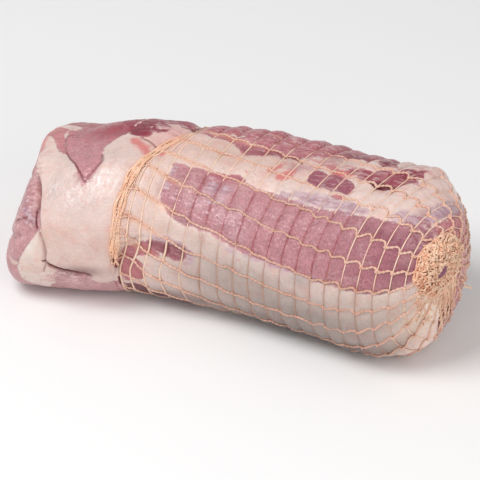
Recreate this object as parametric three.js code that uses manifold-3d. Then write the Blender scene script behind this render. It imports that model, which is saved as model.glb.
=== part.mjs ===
// Boneless pork loin roast: a rolled piece of meat held by an elastic net that is gathered at one end.
// Millimetres, +Z up. It lies along X, with the bare end at -X and the gathered end at +X.
// A place on it is a station s, the distance run from the middle of the bare end, and an angle
// round the section in degrees: 0 at the front (-Y), 90 at the top.

import * as THREE from "three";
import { mergeVertices } from "three/addons/utils/BufferGeometryUtils.js";
import Module from "manifold-3d";

const wasm = await Module();
wasm.setup();

// Roast: length, end caps and the section at seven places along X
const HALF_LENGTH = 148;
const BARE_CAP = { depth: 18, squareness: 3.8 };
const GATHERED_CAP = { depth: 59, squareness: 2.45 };
const SECTION_X = [-148, -109, -69, -44, 20, 94, 148];
const SECTION_HALF_WIDTH = [57.5, 58, 56.5, 58, 61.5, 58, 47];
const SECTION_HALF_HEIGHT = [45, 53, 55, 55, 56, 60, 67];
const SECTION_SHIFT_Y = [0, -8, 1.5, 5, 6, -8, -38.5];
const SECTION_SKEW = [0, 0.12, -0.05, 0.08, 0.19, 0.31, 0.37];
const SECTION_SQUARENESS = 2.25;
const GATHER_RISE = 27;
const GATHER_SHIFT_Y = -1.5;
const CAP_RADIUS = 62;
const SINK = 5.8;
const REST_HEIGHT = 0.4;
const REST_SOFTNESS = 3;

// Moves the middle of the underside's outline to the origin
const ORIGIN_SHIFT = [-3.75, 0.8, 0];

// Net: rings round the roast, lengthwise threads, and the hem that ends it towards the bare end
const THREAD_COUNT = 20;
const THREAD_STEP = 360 / THREAD_COUNT;
const LAST_RING = 21;
const RING_START = 131;
const RING_PITCH = 13.5;
const RING_CROWDING = 0.08;
const FREE_RINGS = 2;
const FREE_RING_PLACES = [0.28, 0.62];
const HEM = { station: 125, slant: 20.5, slantAngle: 118, slantSpread: 48 };
const THREAD_START_ANGLE = 110;
const TWIST = { from: 233, slope: 0.168, curve: -0.001 };
const STRAND = { half: 0.65, depth: 1.1, lift: 0.35 };
const HEM_STRAND = { half: 1.6, depth: 1.8, lift: 0.35 };

// Relief of the meat between the threads
const GROOVE = 1.4;
const HEM_GROOVE = 2.4;
const BITE = 0.15;
const PILLOW_RISE = 2.6;
const PILLOW_PITCH = { none: 4, full: 10 };

// Stations of the rows over the bare end, as shares of the way to the hem, and near the gather
const BARE_ROWS = [0.1, 0.22, 0.34, 0.43, 0.48, 0.54, 0.61, 0.68, 0.75, 0.81, 0.86, 0.905, 0.945, 0.97];
const POLE_ROW = 384.5;

// Rounded swellings and hollows: station, angle, reach along and round, height
const LOBES = [
  { name: "lower corner of the bare end", s: 60, angle: -18, along: 24, round: 28, height: 8 },
  { name: "hollow beside the fat flap", s: 80, angle: 46, along: 18, round: 24, height: -8 },
  { name: "fat roll at the gathered end", s: 308, angle: 124, along: 14, round: 16, height: 5 },
  { name: "lower corner of the gathered end", s: 339, angle: -82, along: 20, round: 22, height: 6 },
  { name: "dark muscle above the hem", s: 128, angle: 112, along: 14, round: 22, height: 4 },
  { name: "hollow of the bare muscle", s: 96, angle: 96, along: 22, round: 26, height: -3 },
  { name: "fold of the end face", s: 36, angle: 60, along: 10, round: 30, height: -4 },
  { name: "roll of the end face", s: 30, angle: 200, along: 16, round: 40, height: 4 },
  { name: "back shoulder", s: 92, angle: 190, along: 24, round: 34, height: 3 },
  { name: "pad under the bare end", s: 92, angle: 270, along: 28, round: 26, height: 2 },
];

// Thick fat flap that folds over the bare end, with a stepped edge
const FLAP = { height: 3.6, edgeWidth: 3, leftStation: 103, leftLean: 0.33, lowerAngle: -12, edgeAngle: 5, topAngle: 84 };
const FLAP_CREASE = { depth: 3.2, width: 5 };
const COLLAR = { height: 2.2, before: 11, width: 5.5 };

// Gathered tuft of net threads
const TUFT = { firstRing: 20, height: 5.2, edgeHeight: 2.4, pleat: 0.7, lump: 1.4, gap: 0.3 };
const CURL = { count: 6, thickness: 1, radius: 4.6, sides: 5, steps: 12, place: 9, height: 4.2 };
const CURL_TURN = 137.5;

const meatMaterial = new THREE.MeshStandardMaterial({ color: 0xd9aca6, roughness: 0.5, metalness: 0 });
const netMaterial = new THREE.MeshStandardMaterial({ color: 0xe8c8a4, roughness: 0.8, metalness: 0 });

// Smooth curve through the values given at the sections
function alongX(x, values) {
  const last = SECTION_X.length - 1;
  let k = 0;
  while (k < last - 1 && x > SECTION_X[k + 1]) {
    k += 1;
  }
  const slope = (n) => {
    const a = Math.max(n - 1, 0);
    const b = Math.min(n + 1, last);
    return (values[b] - values[a]) / (SECTION_X[b] - SECTION_X[a]);
  };
  const width = SECTION_X[k + 1] - SECTION_X[k];
  const t = Math.min(Math.max((x - SECTION_X[k]) / width, 0), 1);
  const start = (1 + 2 * t) * (1 - t) ** 2 * values[k] + t * (1 - t) ** 2 * width * slope(k);
  const end = t * t * (3 - 2 * t) * values[k + 1] + t * t * (t - 1) * width * slope(k + 1);
  return start + end;
}

// Length profile: the place along X and the size of the section against the station
function lengthProfile() {
  const steps = 400;
  const rows = [];
  const cap = (angle, shape) => {
    const power = 2 / shape.squareness;
    return { run: shape.depth * (1 - Math.cos(angle) ** power), size: Math.sin(angle) ** power };
  };
  for (let k = 0; k <= steps; k += 1) {
    const { run, size } = cap(((k / steps) * Math.PI) / 2, BARE_CAP);
    rows.push({ x: -HALF_LENGTH + run, size, s: 0 });
  }
  for (let k = steps; k >= 0; k -= 1) {
    const { run, size } = cap(((k / steps) * Math.PI) / 2, GATHERED_CAP);
    rows.push({ x: HALF_LENGTH - run, size, s: 0 });
  }
  for (let k = 1; k < rows.length; k += 1) {
    const step = Math.hypot(rows[k].x - rows[k - 1].x, CAP_RADIUS * (rows[k].size - rows[k - 1].size));
    rows[k].s = rows[k - 1].s + step;
  }
  return rows;
}

const PROFILE = lengthProfile();
const POLE_STATION = PROFILE[PROFILE.length - 1].s;

function profileAt(s) {
  let low = 0;
  let high = PROFILE.length - 1;
  while (high - low > 1) {
    const middle = (low + high) >> 1;
    if (PROFILE[middle].s <= s) {
      low = middle;
    } else {
      high = middle;
    }
  }
  const span = PROFILE[high].s - PROFILE[low].s || 1;
  const t = Math.min(Math.max((s - PROFILE[low].s) / span, 0), 1);
  const mix = (key) => PROFILE[low][key] + t * (PROFILE[high][key] - PROFILE[low][key]);
  return { x: mix("x"), size: mix("size") };
}

// Bare body without relief, flattened softly where it rests
function bodyPoint(s, angle) {
  const { x, size } = profileAt(s);
  const halfWidth = alongX(x, SECTION_HALF_WIDTH);
  const halfHeight = alongX(x, SECTION_HALF_HEIGHT);
  const c = Math.cos((angle * Math.PI) / 180);
  const n = Math.sin((angle * Math.PI) / 180);
  const sum = Math.abs(c / halfWidth) ** SECTION_SQUARENESS + Math.abs(n / halfHeight) ** SECTION_SQUARENESS;
  const reach = size / sum ** (1 / SECTION_SQUARENESS);
  const gather = x > 0 ? 1 - size : 0;
  const across = -reach * c;
  const centre = halfHeight - SINK + GATHER_RISE * gather;
  const free = (centre + reach * n - REST_HEIGHT) / REST_SOFTNESS;
  const z = REST_HEIGHT + REST_SOFTNESS * (free > 30 ? free : Math.log1p(Math.exp(free)));
  const y = alongX(x, SECTION_SHIFT_Y) + across + GATHER_SHIFT_Y * gather;
  return new THREE.Vector3(x + alongX(x, SECTION_SKEW) * across, y, z);
}

// Outward direction of the bare body
function bodyNormal(s, angle) {
  const near = Math.min(Math.max(s, 1.5), POLE_STATION - 1.5);
  const along = bodyPoint(near + 0.5, angle).sub(bodyPoint(near - 0.5, angle));
  const round = bodyPoint(near, angle + 0.5).sub(bodyPoint(near, angle - 0.5));
  return along.cross(round).normalize();
}

const smooth = (t) => {
  const k = Math.min(Math.max(t, 0), 1);
  return k * k * (3 - 2 * k);
};

const bell = (t) => Math.exp(-t * t);

const turnFrom = (angle, centre) => ((((angle - centre + 180) % 360) + 360) % 360) - 180;

function hemStation(angle) {
  return HEM.station + HEM.slant * bell(turnFrom(angle, HEM.slantAngle) / HEM.slantSpread);
}

const ringRest = (ring) => RING_START + RING_PITCH * ring - RING_CROWDING * ring * ring;

// Station of a ring, which may be a fraction: ring -1 is the hem, and the first rings crowd to it
function ringStation(ring, angle) {
  if (ring >= FREE_RINGS) {
    return ringRest(ring);
  }
  const places = [0, ...FREE_RING_PLACES, 1];
  const k = Math.floor(ring + 1);
  const share = places[k] + (ring + 1 - k) * (places[k + 1] - places[k]);
  const hem = hemStation(angle);
  return hem + (ringRest(FREE_RINGS) - hem) * share;
}

function threadAngle(thread, s) {
  const run = Math.max(s, HEM.station) - TWIST.from;
  return THREAD_START_ANGLE - THREAD_STEP * thread - (TWIST.slope * run + TWIST.curve * run * run);
}

// Place where a ring and a thread cross
function crossing(ring, thread) {
  let s = ringRest(Math.max(ring, 0));
  let angle = 0;
  for (let k = 0; k < 6; k += 1) {
    angle = threadAngle(thread, s);
    s = ringStation(ring, angle);
  }
  return { s, angle };
}

// Raised fat flap, with a crease under its stepped edge
function flapRelief(s, angle) {
  const turn = turnFrom(angle, 0);
  const fromLeft = s - (FLAP.leftStation - FLAP.leftLean * Math.max(turn, 0));
  const fromBelow = turn - FLAP.lowerAngle;
  const fromTop = FLAP.topAngle - turn;
  const left = smooth(fromLeft / FLAP.edgeWidth);
  const below = smooth(fromBelow / FLAP.edgeAngle);
  const top = smooth(fromTop / 20);
  const crease = bell((fromBelow + FLAP.edgeAngle) / FLAP_CREASE.width) * smooth((s - 86) / 20);
  return FLAP.height * left * below * top - FLAP_CREASE.depth * crease;
}

function lobeRelief(s, angle) {
  let height = 0;
  for (const lobe of LOBES) {
    height += lobe.height * bell(Math.hypot((s - lobe.s) / lobe.along, turnFrom(angle, lobe.angle) / lobe.round));
  }
  return height;
}

// Relief of the bare end, up to the hem
function bareRelief(s, angle) {
  const toHem = hemStation(angle) - s;
  const collar = COLLAR.height * bell((toHem - COLLAR.before) / COLLAR.width);
  const fade = smooth(toHem / COLLAR.before);
  return lobeRelief(s, angle) + fade * flapRelief(s, angle) + collar;
}

function meatPoint(s, angle, relief) {
  const point = bodyPoint(s, angle).addScaledVector(bodyNormal(s, angle), relief);
  point.z = Math.max(point.z, 0);
  return point;
}

// Depth of the groove where a ring crosses a thread
function grooveDepth(ring) {
  return ring === -1 ? HEM_GROOVE : GROOVE;
}

// How far the meat swells in the middle of a mesh, less where the rings or the threads crowd together
function meshSwell(ring, s, angle) {
  if (ring > TUFT.firstRing) {
    return 0;
  }
  const pitch = ringStation(ring + 0.5, angle) - ringStation(ring - 0.5, angle);
  const share = (pitch - PILLOW_PITCH.none) / (PILLOW_PITCH.full - PILLOW_PITCH.none);
  return PILLOW_RISE * profileAt(s).size * Math.min(Math.max(share, 0), 1);
}

// Meat under the net: it swells in the middle of each mesh, and a taut thread presses it straight
function nettedPoint(ring, thread) {
  const { s, angle } = crossing(ring, thread);
  const onRing = Number.isInteger(ring);
  const onThread = Number.isInteger(thread);
  if (onRing && onThread) {
    return meatPoint(s, angle, lobeRelief(s, angle) - grooveDepth(ring));
  }
  if (!onRing && !onThread) {
    return meatPoint(s, angle, lobeRelief(s, angle) - GROOVE + meshSwell(ring, s, angle));
  }
  const [ringStep, threadStep] = onRing ? [0, 0.5] : [0.5, 0];
  const before = nettedPoint(ring - ringStep, thread - threadStep);
  const after = nettedPoint(ring + ringStep, thread + threadStep);
  return before.add(after).multiplyScalar(0.5).addScaledVector(bodyNormal(s, angle), -BITE);
}

// One closed mesh from points and triangles
function geometryOf(points, triangles) {
  const geometry = new THREE.BufferGeometry();
  const numbers = points.flatMap((p) => [p.x, p.y, p.z]);
  geometry.setAttribute("position", new THREE.Float32BufferAttribute(numbers, 3));
  geometry.setIndex(triangles);
  return geometry;
}

// Rows over the bare end: each gives the point at a thread position
function bareRows() {
  return BARE_ROWS.map((share) => (thread) => {
    const angle = threadAngle(thread, 0);
    const s = share * hemStation(angle);
    return meatPoint(s, angle, bareRelief(s, angle));
  });
}

// Rows under the net from one ring on, and the row round the gather, with the meat lifted if asked
function nettedRows(firstRing, heightAt) {
  const rows = [];
  for (let half = 2 * firstRing; half <= 2 * LAST_RING; half += 1) {
    const ring = half / 2;
    rows.push((thread) => {
      const { s, angle } = crossing(ring, thread);
      return nettedPoint(ring, thread).addScaledVector(bodyNormal(s, angle), heightAt(s, thread));
    });
  }
  rows.push((thread) => {
    const angle = threadAngle(thread, POLE_ROW);
    return meatPoint(POLE_ROW, angle, heightAt(POLE_ROW, thread) - GROOVE);
  });
  return rows;
}

function filledRows(rows) {
  return rows.map((pointAt) => {
    const points = [];
    for (let half = 0; half < 2 * THREAD_COUNT; half += 1) {
      points.push(pointAt(half / 2));
    }
    return points;
  });
}

// Skin over rows of points, closed by a point at each end. Its quads are split along alternate
// diagonals, and turn says which comes first.
function skinOver(rows, firstPole, lastPole, turn) {
  const columns = rows[0].length;
  const points = [firstPole, ...rows.flat(), lastPole];
  const at = (row, column) => 1 + row * columns + (column % columns);
  const triangles = [];
  for (let c = 0; c < columns; c += 1) {
    triangles.push(0, at(0, c + 1), at(0, c));
    triangles.push(points.length - 1, at(rows.length - 1, c), at(rows.length - 1, c + 1));
  }
  for (let r = 0; r < rows.length - 1; r += 1) {
    for (let c = 0; c < columns; c += 1) {
      const [a, b, d, e] = [at(r, c), at(r, c + 1), at(r + 1, c + 1), at(r + 1, c)];
      if ((r + c + turn) % 2 === 0) {
        triangles.push(a, b, d, a, d, e);
      } else {
        triangles.push(a, b, e, b, d, e);
      }
    }
  }
  return geometryOf(points, triangles);
}

function roastGeometry() {
  const rows = filledRows([...bareRows(), ...nettedRows(-1, () => 0)]);
  const middle = (row) => row.reduce((sum, p) => sum.add(p), new THREE.Vector3()).divideScalar(row.length);
  const firstPole = middle(rows[0]).add(new THREE.Vector3(-1, 0, 0));
  const lastPole = meatPoint(POLE_STATION, 0, -GROOVE);
  return skinOver(rows, firstPole, lastPole, 0);
}

// Corner points of the net where a ring and a thread cross
function knot(ring, thread) {
  const strand = ring === -1 ? HEM_STRAND : STRAND;
  const { s, angle } = crossing(ring, thread);
  const up = bodyNormal(s, angle);
  const base = nettedPoint(ring, thread).addScaledVector(up, strand.lift);
  const top = base.clone().addScaledVector(up, strand.depth);
  const along = bodyPoint(s + 1, angle).sub(bodyPoint(s - 1, angle)).normalize();
  const round = along.clone().cross(up).normalize();
  const corner = (a, b) => top.clone().addScaledVector(along, a * strand.half).addScaledVector(round, b * STRAND.half);
  return [base, corner(-1, -1), corner(-1, 1), corner(1, 1), corner(1, -1)];
}

// Net of three-sided strands that share the corners of their knots
function netGeometry() {
  const points = [];
  const rows = LAST_RING + 2;
  for (let row = 0; row < rows; row += 1) {
    for (let thread = 0; thread < THREAD_COUNT; thread += 1) {
      points.push(...knot(row - 1, thread));
    }
  }
  const at = (row, thread, corner) => 5 * (row * THREAD_COUNT + (thread % THREAD_COUNT)) + corner;
  const triangles = [];
  const quad = (a, b, c, d) => triangles.push(a, b, c, a, c, d);
  for (let row = 0; row < rows; row += 1) {
    for (let j = 0; j < THREAD_COUNT; j += 1) {
      const here = (corner) => at(row, j, corner);
      const beside = (corner) => at(row, j + 1, corner);
      quad(here(1), here(2), here(3), here(4));
      quad(here(2), beside(1), beside(4), here(3));
      quad(here(3), beside(4), beside(0), here(0));
      quad(beside(1), here(2), here(0), beside(0));
      if (row === 0) {
        triangles.push(here(2), here(1), here(0));
      }
      if (row === rows - 1) {
        triangles.push(here(4), here(3), here(0));
        continue;
      }
      const next = (corner) => at(row + 1, j, corner);
      quad(here(4), here(3), next(2), next(1));
      quad(next(2), here(3), here(0), next(0));
      quad(here(4), next(1), next(0), here(0));
    }
  }
  return geometryOf(points, triangles);
}

// Height of the tuft over the meat, in pleats and lumps
function tuftHeight(s, thread) {
  const edge = ringRest(TUFT.firstRing);
  const share = (s - edge) / (POLE_STATION - edge);
  const column = 2 * thread;
  const pleat = TUFT.pleat * (column % 2 === 0 ? 1 : -1) * (1 - share);
  const lump = TUFT.lump * Math.sin(column * 0.9) * Math.cos(column * 0.47 + 3 * share);
  return TUFT.edgeHeight + (TUFT.height - TUFT.edgeHeight) * smooth(2 * share) + pleat + lump * smooth(2 * share);
}

// Gathered tuft: a lumpy cap whose underside keeps just clear of the meat
function tuftGeometry() {
  const under = filledRows(nettedRows(TUFT.firstRing, () => TUFT.gap));
  const over = filledRows(nettedRows(TUFT.firstRing, tuftHeight));
  const pole = (height) => meatPoint(POLE_STATION, 0, height - GROOVE);
  return skinOver([...under.reverse(), ...over], pole(TUFT.gap), pole(TUFT.height), 1);
}

// Loose curl of thread that stands out of the tuft
class CurlPath extends THREE.Curve {
  constructor(centre, out, side, radius) {
    super();
    Object.assign(this, { centre, out, side, radius });
  }

  getPoint(t) {
    const turn = Math.PI * (1.16 * t - 0.08);
    const point = this.centre.clone().addScaledVector(this.side, this.radius * Math.cos(turn));
    return point.addScaledVector(this.out, this.radius * Math.sin(turn));
  }
}

function curlGeometry(index) {
  const angle = index * CURL_TURN;
  const s = POLE_STATION - CURL.place + 2 * Math.sin(index);
  const out = bodyNormal(s, angle);
  const centre = bodyPoint(s, angle).addScaledVector(out, CURL.height);
  const spin = new THREE.Quaternion().setFromAxisAngle(out, index * 1.9);
  const side = new THREE.Vector3(0, 0, 1).cross(out).normalize().applyQuaternion(spin);
  const section = new THREE.Shape();
  for (let k = 0; k < CURL.sides; k += 1) {
    const turn = (2 * Math.PI * k) / CURL.sides;
    const method = k === 0 ? "moveTo" : "lineTo";
    section[method](CURL.thickness * Math.cos(turn), CURL.thickness * Math.sin(turn));
  }
  section.closePath();
  const radius = CURL.radius * (1 - 0.12 * (index % 3));
  const extrudePath = new CurlPath(centre, out, side, radius);
  return new THREE.ExtrudeGeometry(section, { steps: CURL.steps, bevelEnabled: false, extrudePath });
}

// Solid for joining, from a closed geometry
function solidOf(geometry) {
  const plain = geometry.clone();
  plain.deleteAttribute("normal");
  plain.deleteAttribute("uv");
  const merged = mergeVertices(plain, 1e-4);
  const mesh = new wasm.Mesh({
    numProp: 3,
    vertProperties: new Float32Array(merged.attributes.position.array),
    triVerts: new Uint32Array(merged.index.array),
  });
  return new wasm.Manifold(mesh);
}

function geometryFrom(solid) {
  const mesh = solid.getMesh();
  const geometry = new THREE.BufferGeometry();
  geometry.setAttribute("position", new THREE.BufferAttribute(mesh.vertProperties, 3));
  geometry.setIndex(new THREE.BufferAttribute(mesh.triVerts, 1));
  return geometry;
}

function nettingGeometry() {
  let netting = solidOf(netGeometry()).add(solidOf(tuftGeometry()));
  for (let k = 0; k < CURL.count; k += 1) {
    netting = netting.add(solidOf(curlGeometry(k)));
  }
  return geometryFrom(netting);
}

function namedMesh(name, geometry, material) {
  const mesh = new THREE.Mesh(geometry, material);
  mesh.name = name;
  return mesh;
}

const group = new THREE.Group();
group.position.set(...ORIGIN_SHIFT);
group.add(namedMesh("roast", roastGeometry(), meatMaterial));
group.add(namedMesh("netting", nettingGeometry(), netMaterial));

export default group;
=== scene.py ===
"""Boneless pork loin roast: rolled meat in an elastic net that is gathered into a tuft at one end.

Sizes are in millimetres and angles in degrees until a mesh is made in metres. A place on the roast
is a station s, the run from the middle of the bare end, and an angle round the section: 0 is the
front (-Y) and 90 the top. Under the net a place is also a ring and a thread, counted in whole
meshes, and both may be fractions. On the gathered end a place is also across and up, on a plane
that is laid over the pole.
"""

import itertools
import logging
import math
from collections.abc import Iterable
from dataclasses import dataclass, field
from enum import Enum, StrEnum

import bpy
import numpy as np
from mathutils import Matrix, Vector


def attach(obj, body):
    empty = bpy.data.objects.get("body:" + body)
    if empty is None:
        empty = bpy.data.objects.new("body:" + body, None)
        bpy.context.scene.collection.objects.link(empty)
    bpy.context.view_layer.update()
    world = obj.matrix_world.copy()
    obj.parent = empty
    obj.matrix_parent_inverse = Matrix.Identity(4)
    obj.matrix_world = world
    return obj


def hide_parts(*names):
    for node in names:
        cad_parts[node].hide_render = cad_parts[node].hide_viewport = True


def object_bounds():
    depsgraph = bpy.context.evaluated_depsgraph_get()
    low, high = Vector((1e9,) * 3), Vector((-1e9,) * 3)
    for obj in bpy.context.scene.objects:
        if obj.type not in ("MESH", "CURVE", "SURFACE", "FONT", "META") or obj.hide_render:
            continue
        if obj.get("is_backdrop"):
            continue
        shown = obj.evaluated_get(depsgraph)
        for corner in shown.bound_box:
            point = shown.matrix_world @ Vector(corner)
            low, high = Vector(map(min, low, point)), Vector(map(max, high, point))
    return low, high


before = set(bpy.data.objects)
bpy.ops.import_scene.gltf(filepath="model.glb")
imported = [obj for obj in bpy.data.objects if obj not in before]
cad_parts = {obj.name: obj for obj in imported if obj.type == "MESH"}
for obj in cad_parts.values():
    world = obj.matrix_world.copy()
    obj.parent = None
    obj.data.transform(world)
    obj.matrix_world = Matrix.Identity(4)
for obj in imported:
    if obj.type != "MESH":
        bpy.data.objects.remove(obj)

LOG = logging.getLogger("roast")
METRES = 0.001
BODY = "root"
OUTSIDE = 9.0
FAR = 99.0
CELL_KEYS = np.array([73856093, 19349663, 83492791], dtype=np.int64)
SCRAMBLERS = (2654435761, 2246822519, 3266489917)
KEY_BITS = 65535

Array = np.ndarray
Colour = tuple[int, int, int]
Row = tuple[float, ...]
Place = tuple[float, float]
Triple = tuple[float, float, float]
Piece = bpy.types.Object
Socket = bpy.types.NodeSocket
Material = bpy.types.Material


def smooth(t: Array | float) -> Array:
    """Soft step from 0 at t = 0 to 1 at t = 1."""
    k = np.clip(t, 0.0, 1.0)
    return k * k * (3 - 2 * k)


def bell(t: Array | float) -> Array:
    """Rounded bump, 1 at t = 0."""
    return np.exp(-np.square(t))


def turn_from(angle: Array | float, centre: float = 0.0) -> Array:
    """Turn from a centre, or else the front, to an angle, within half a turn either way."""
    return np.mod(np.asarray(angle) - centre + 180.0, 360.0) - 180.0


def linear(colour: Colour) -> tuple[float, float, float, float]:
    """Scene-linear RGBA of a display colour given from 0 to 255."""
    shares = [c / 255 for c in colour]
    return (*[s / 12.92 if s <= 0.04045 else ((s + 0.055) / 1.055) ** 2.4 for s in shares], 1.0)


def noise(points: Array, size: float, seed: int, octaves: int = 2) -> Array:
    """Smooth random field over space.

    Args:
        points: Places, one row each, in millimetres.
        size: Width of the largest features.
        seed: Number that picks the field.
        octaves: How many layers, each half as wide and half as strong as the one before.

    Returns:
        One value from about -1 to 1 for each place.
    """
    total = np.zeros(len(points))
    for octave in range(octaves):
        scaled = points * (2**octave / size)
        cell = np.floor(scaled).astype(np.int64)
        part = scaled - cell
        blend = part**3 * (part * (part * 6 - 15) + 10)
        for corner in itertools.product((0, 1), repeat=3):
            key = (cell + corner) @ CELL_KEYS + (seed + octave) * SCRAMBLERS[0]
            key = (key ^ (key >> 15)) * SCRAMBLERS[1]
            key = (key ^ (key >> 13)) * SCRAMBLERS[2]
            value = ((key ^ (key >> 16)) & KEY_BITS) / (KEY_BITS / 2) - 1
            weight = np.prod(np.where(corner, blend, 1 - blend), axis=1)
            total += weight * value * 0.5**octave
    return total


@dataclass(frozen=True)
class Span:
    """Range of a value that counts, with soft ends: it rises past start and falls before end."""

    start: float
    rise: float
    end: float
    fall: float

    def share(self, value: Array | float) -> Array:
        """Share from 0 outside the range to 1 well inside it."""
        return smooth((value - self.start) / self.rise) * smooth((self.end - value) / self.fall)


@dataclass(frozen=True)
class EndCap:
    """Rounding at one end of the roast."""

    depth: float
    squareness: float
    steps: int = 400

    def profile(self) -> tuple[Array, Array]:
        """Depth from the end and share of the section's size, from the pole outwards."""
        turn = np.linspace(0, math.pi / 2, self.steps + 1)
        power = 2 / self.squareness
        return self.depth * (1 - np.cos(turn) ** power), np.sin(turn) ** power


@dataclass
class RoastBody:
    """Bare form of the roast, before any relief."""

    half_length: float = 148.0
    bare_cap: EndCap = EndCap(18, 3.8)
    gathered_cap: EndCap = EndCap(59, 2.45)
    section_x: Row = (-148, -109, -69, -44, 20, 94, 148)
    half_width: Row = (57.5, 58, 56.5, 58, 61.5, 58, 47)
    half_height: Row = (45, 53, 55, 55, 56, 60, 67)
    shift_y: Row = (0, -8, 1.5, 5, 6, -8, -38.5)
    skew: Row = (0, 0.12, -0.05, 0.08, 0.19, 0.31, 0.37)
    squareness: float = 2.25
    gather_rise: float = 27.0
    gather_shift_y: float = -1.5
    cap_radius: float = 62.0
    sink: float = 5.8
    rest_height: float = 0.4
    rest_softness: float = 3.0
    origin_shift: Triple = (-3.75, 0.8, 0.0)
    probe: float = 0.5
    pole_margin: float = 1.5

    def __post_init__(self) -> None:
        """Works out the length profile: place along X and size against the station."""
        near_run, near_size = self.bare_cap.profile()
        far_run, far_size = self.gathered_cap.profile()
        self.place = np.concatenate([near_run - self.half_length, (self.half_length - far_run)[::-1]])
        self.size = np.concatenate([near_size, far_size[::-1]])
        steps = np.hypot(np.diff(self.place), self.cap_radius * np.diff(self.size))
        self.station = np.concatenate([[0.0], np.cumsum(steps)])
        self.pole = float(self.station[-1])

    def size_at(self, s: Array) -> Array:
        """Share of the section's full size at each station."""
        return np.interp(s, self.station, self.size)

    def along_x(self, x: Array, values: Row) -> Array:
        """Smooth curve through the values given at the sections.

        Args:
            x: Places along the roast.
            values: The value at each section.

        Returns:
            The value at each place.
        """
        stops, heights = np.array(self.section_x, float), np.array(values, float)
        last = len(stops) - 1
        before, after = np.maximum(np.arange(last + 1) - 1, 0), np.minimum(np.arange(last + 1) + 1, last)
        slope = (heights[after] - heights[before]) / (stops[after] - stops[before])
        k = np.clip(np.searchsorted(stops, x) - 1, 0, last - 1)
        width = stops[k + 1] - stops[k]
        t = np.clip((x - stops[k]) / width, 0, 1)
        start = (1 + 2 * t) * (1 - t) ** 2 * heights[k] + t * (1 - t) ** 2 * width * slope[k]
        return start + t * t * (3 - 2 * t) * heights[k + 1] + t * t * (t - 1) * width * slope[k + 1]

    def point(self, s: Array, angle: Array) -> Array:
        """Point of the bare form, flattened softly where it rests.

        Args:
            s, angle: Places on the roast.

        Returns:
            Coordinates, in the last axis.
        """
        x, size = np.interp(s, self.station, self.place), self.size_at(s)
        wide, high = self.along_x(x, self.half_width), self.along_x(x, self.half_height)
        c, n = np.cos(np.radians(angle)), np.sin(np.radians(angle))
        total = np.abs(c / wide) ** self.squareness + np.abs(n / high) ** self.squareness
        reach = size / total ** (1 / self.squareness)
        gather = np.where(x > 0, 1 - size, 0)
        across = -reach * c
        lifted = high - self.sink + self.gather_rise * gather + reach * n
        free = (lifted - self.rest_height) / self.rest_softness
        z = self.rest_height + self.rest_softness * np.logaddexp(0, free)
        y = self.along_x(x, self.shift_y) + across + self.gather_shift_y * gather
        return np.stack([x + self.along_x(x, self.skew) * across, y, z], -1) + self.origin_shift

    def normal(self, s: Array, angle: Array) -> Array:
        """Outward direction of the bare form.

        Args:
            s, angle: Places on the roast.

        Returns:
            Unit vectors, in the last axis.
        """
        near = np.clip(s, self.pole_margin, self.pole - self.pole_margin)
        along = self.point(near + self.probe, angle) - self.point(near - self.probe, angle)
        around = self.point(near, angle + self.probe) - self.point(near, angle - self.probe)
        out = np.cross(along, around)
        return out / np.linalg.norm(out, axis=-1, keepdims=True)

    def over(self, s: Array, angle: Array, height: Array) -> Array:
        """Points at a height over the bare form."""
        return self.point(s, angle) + self.normal(s, angle) * height[..., None]


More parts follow.
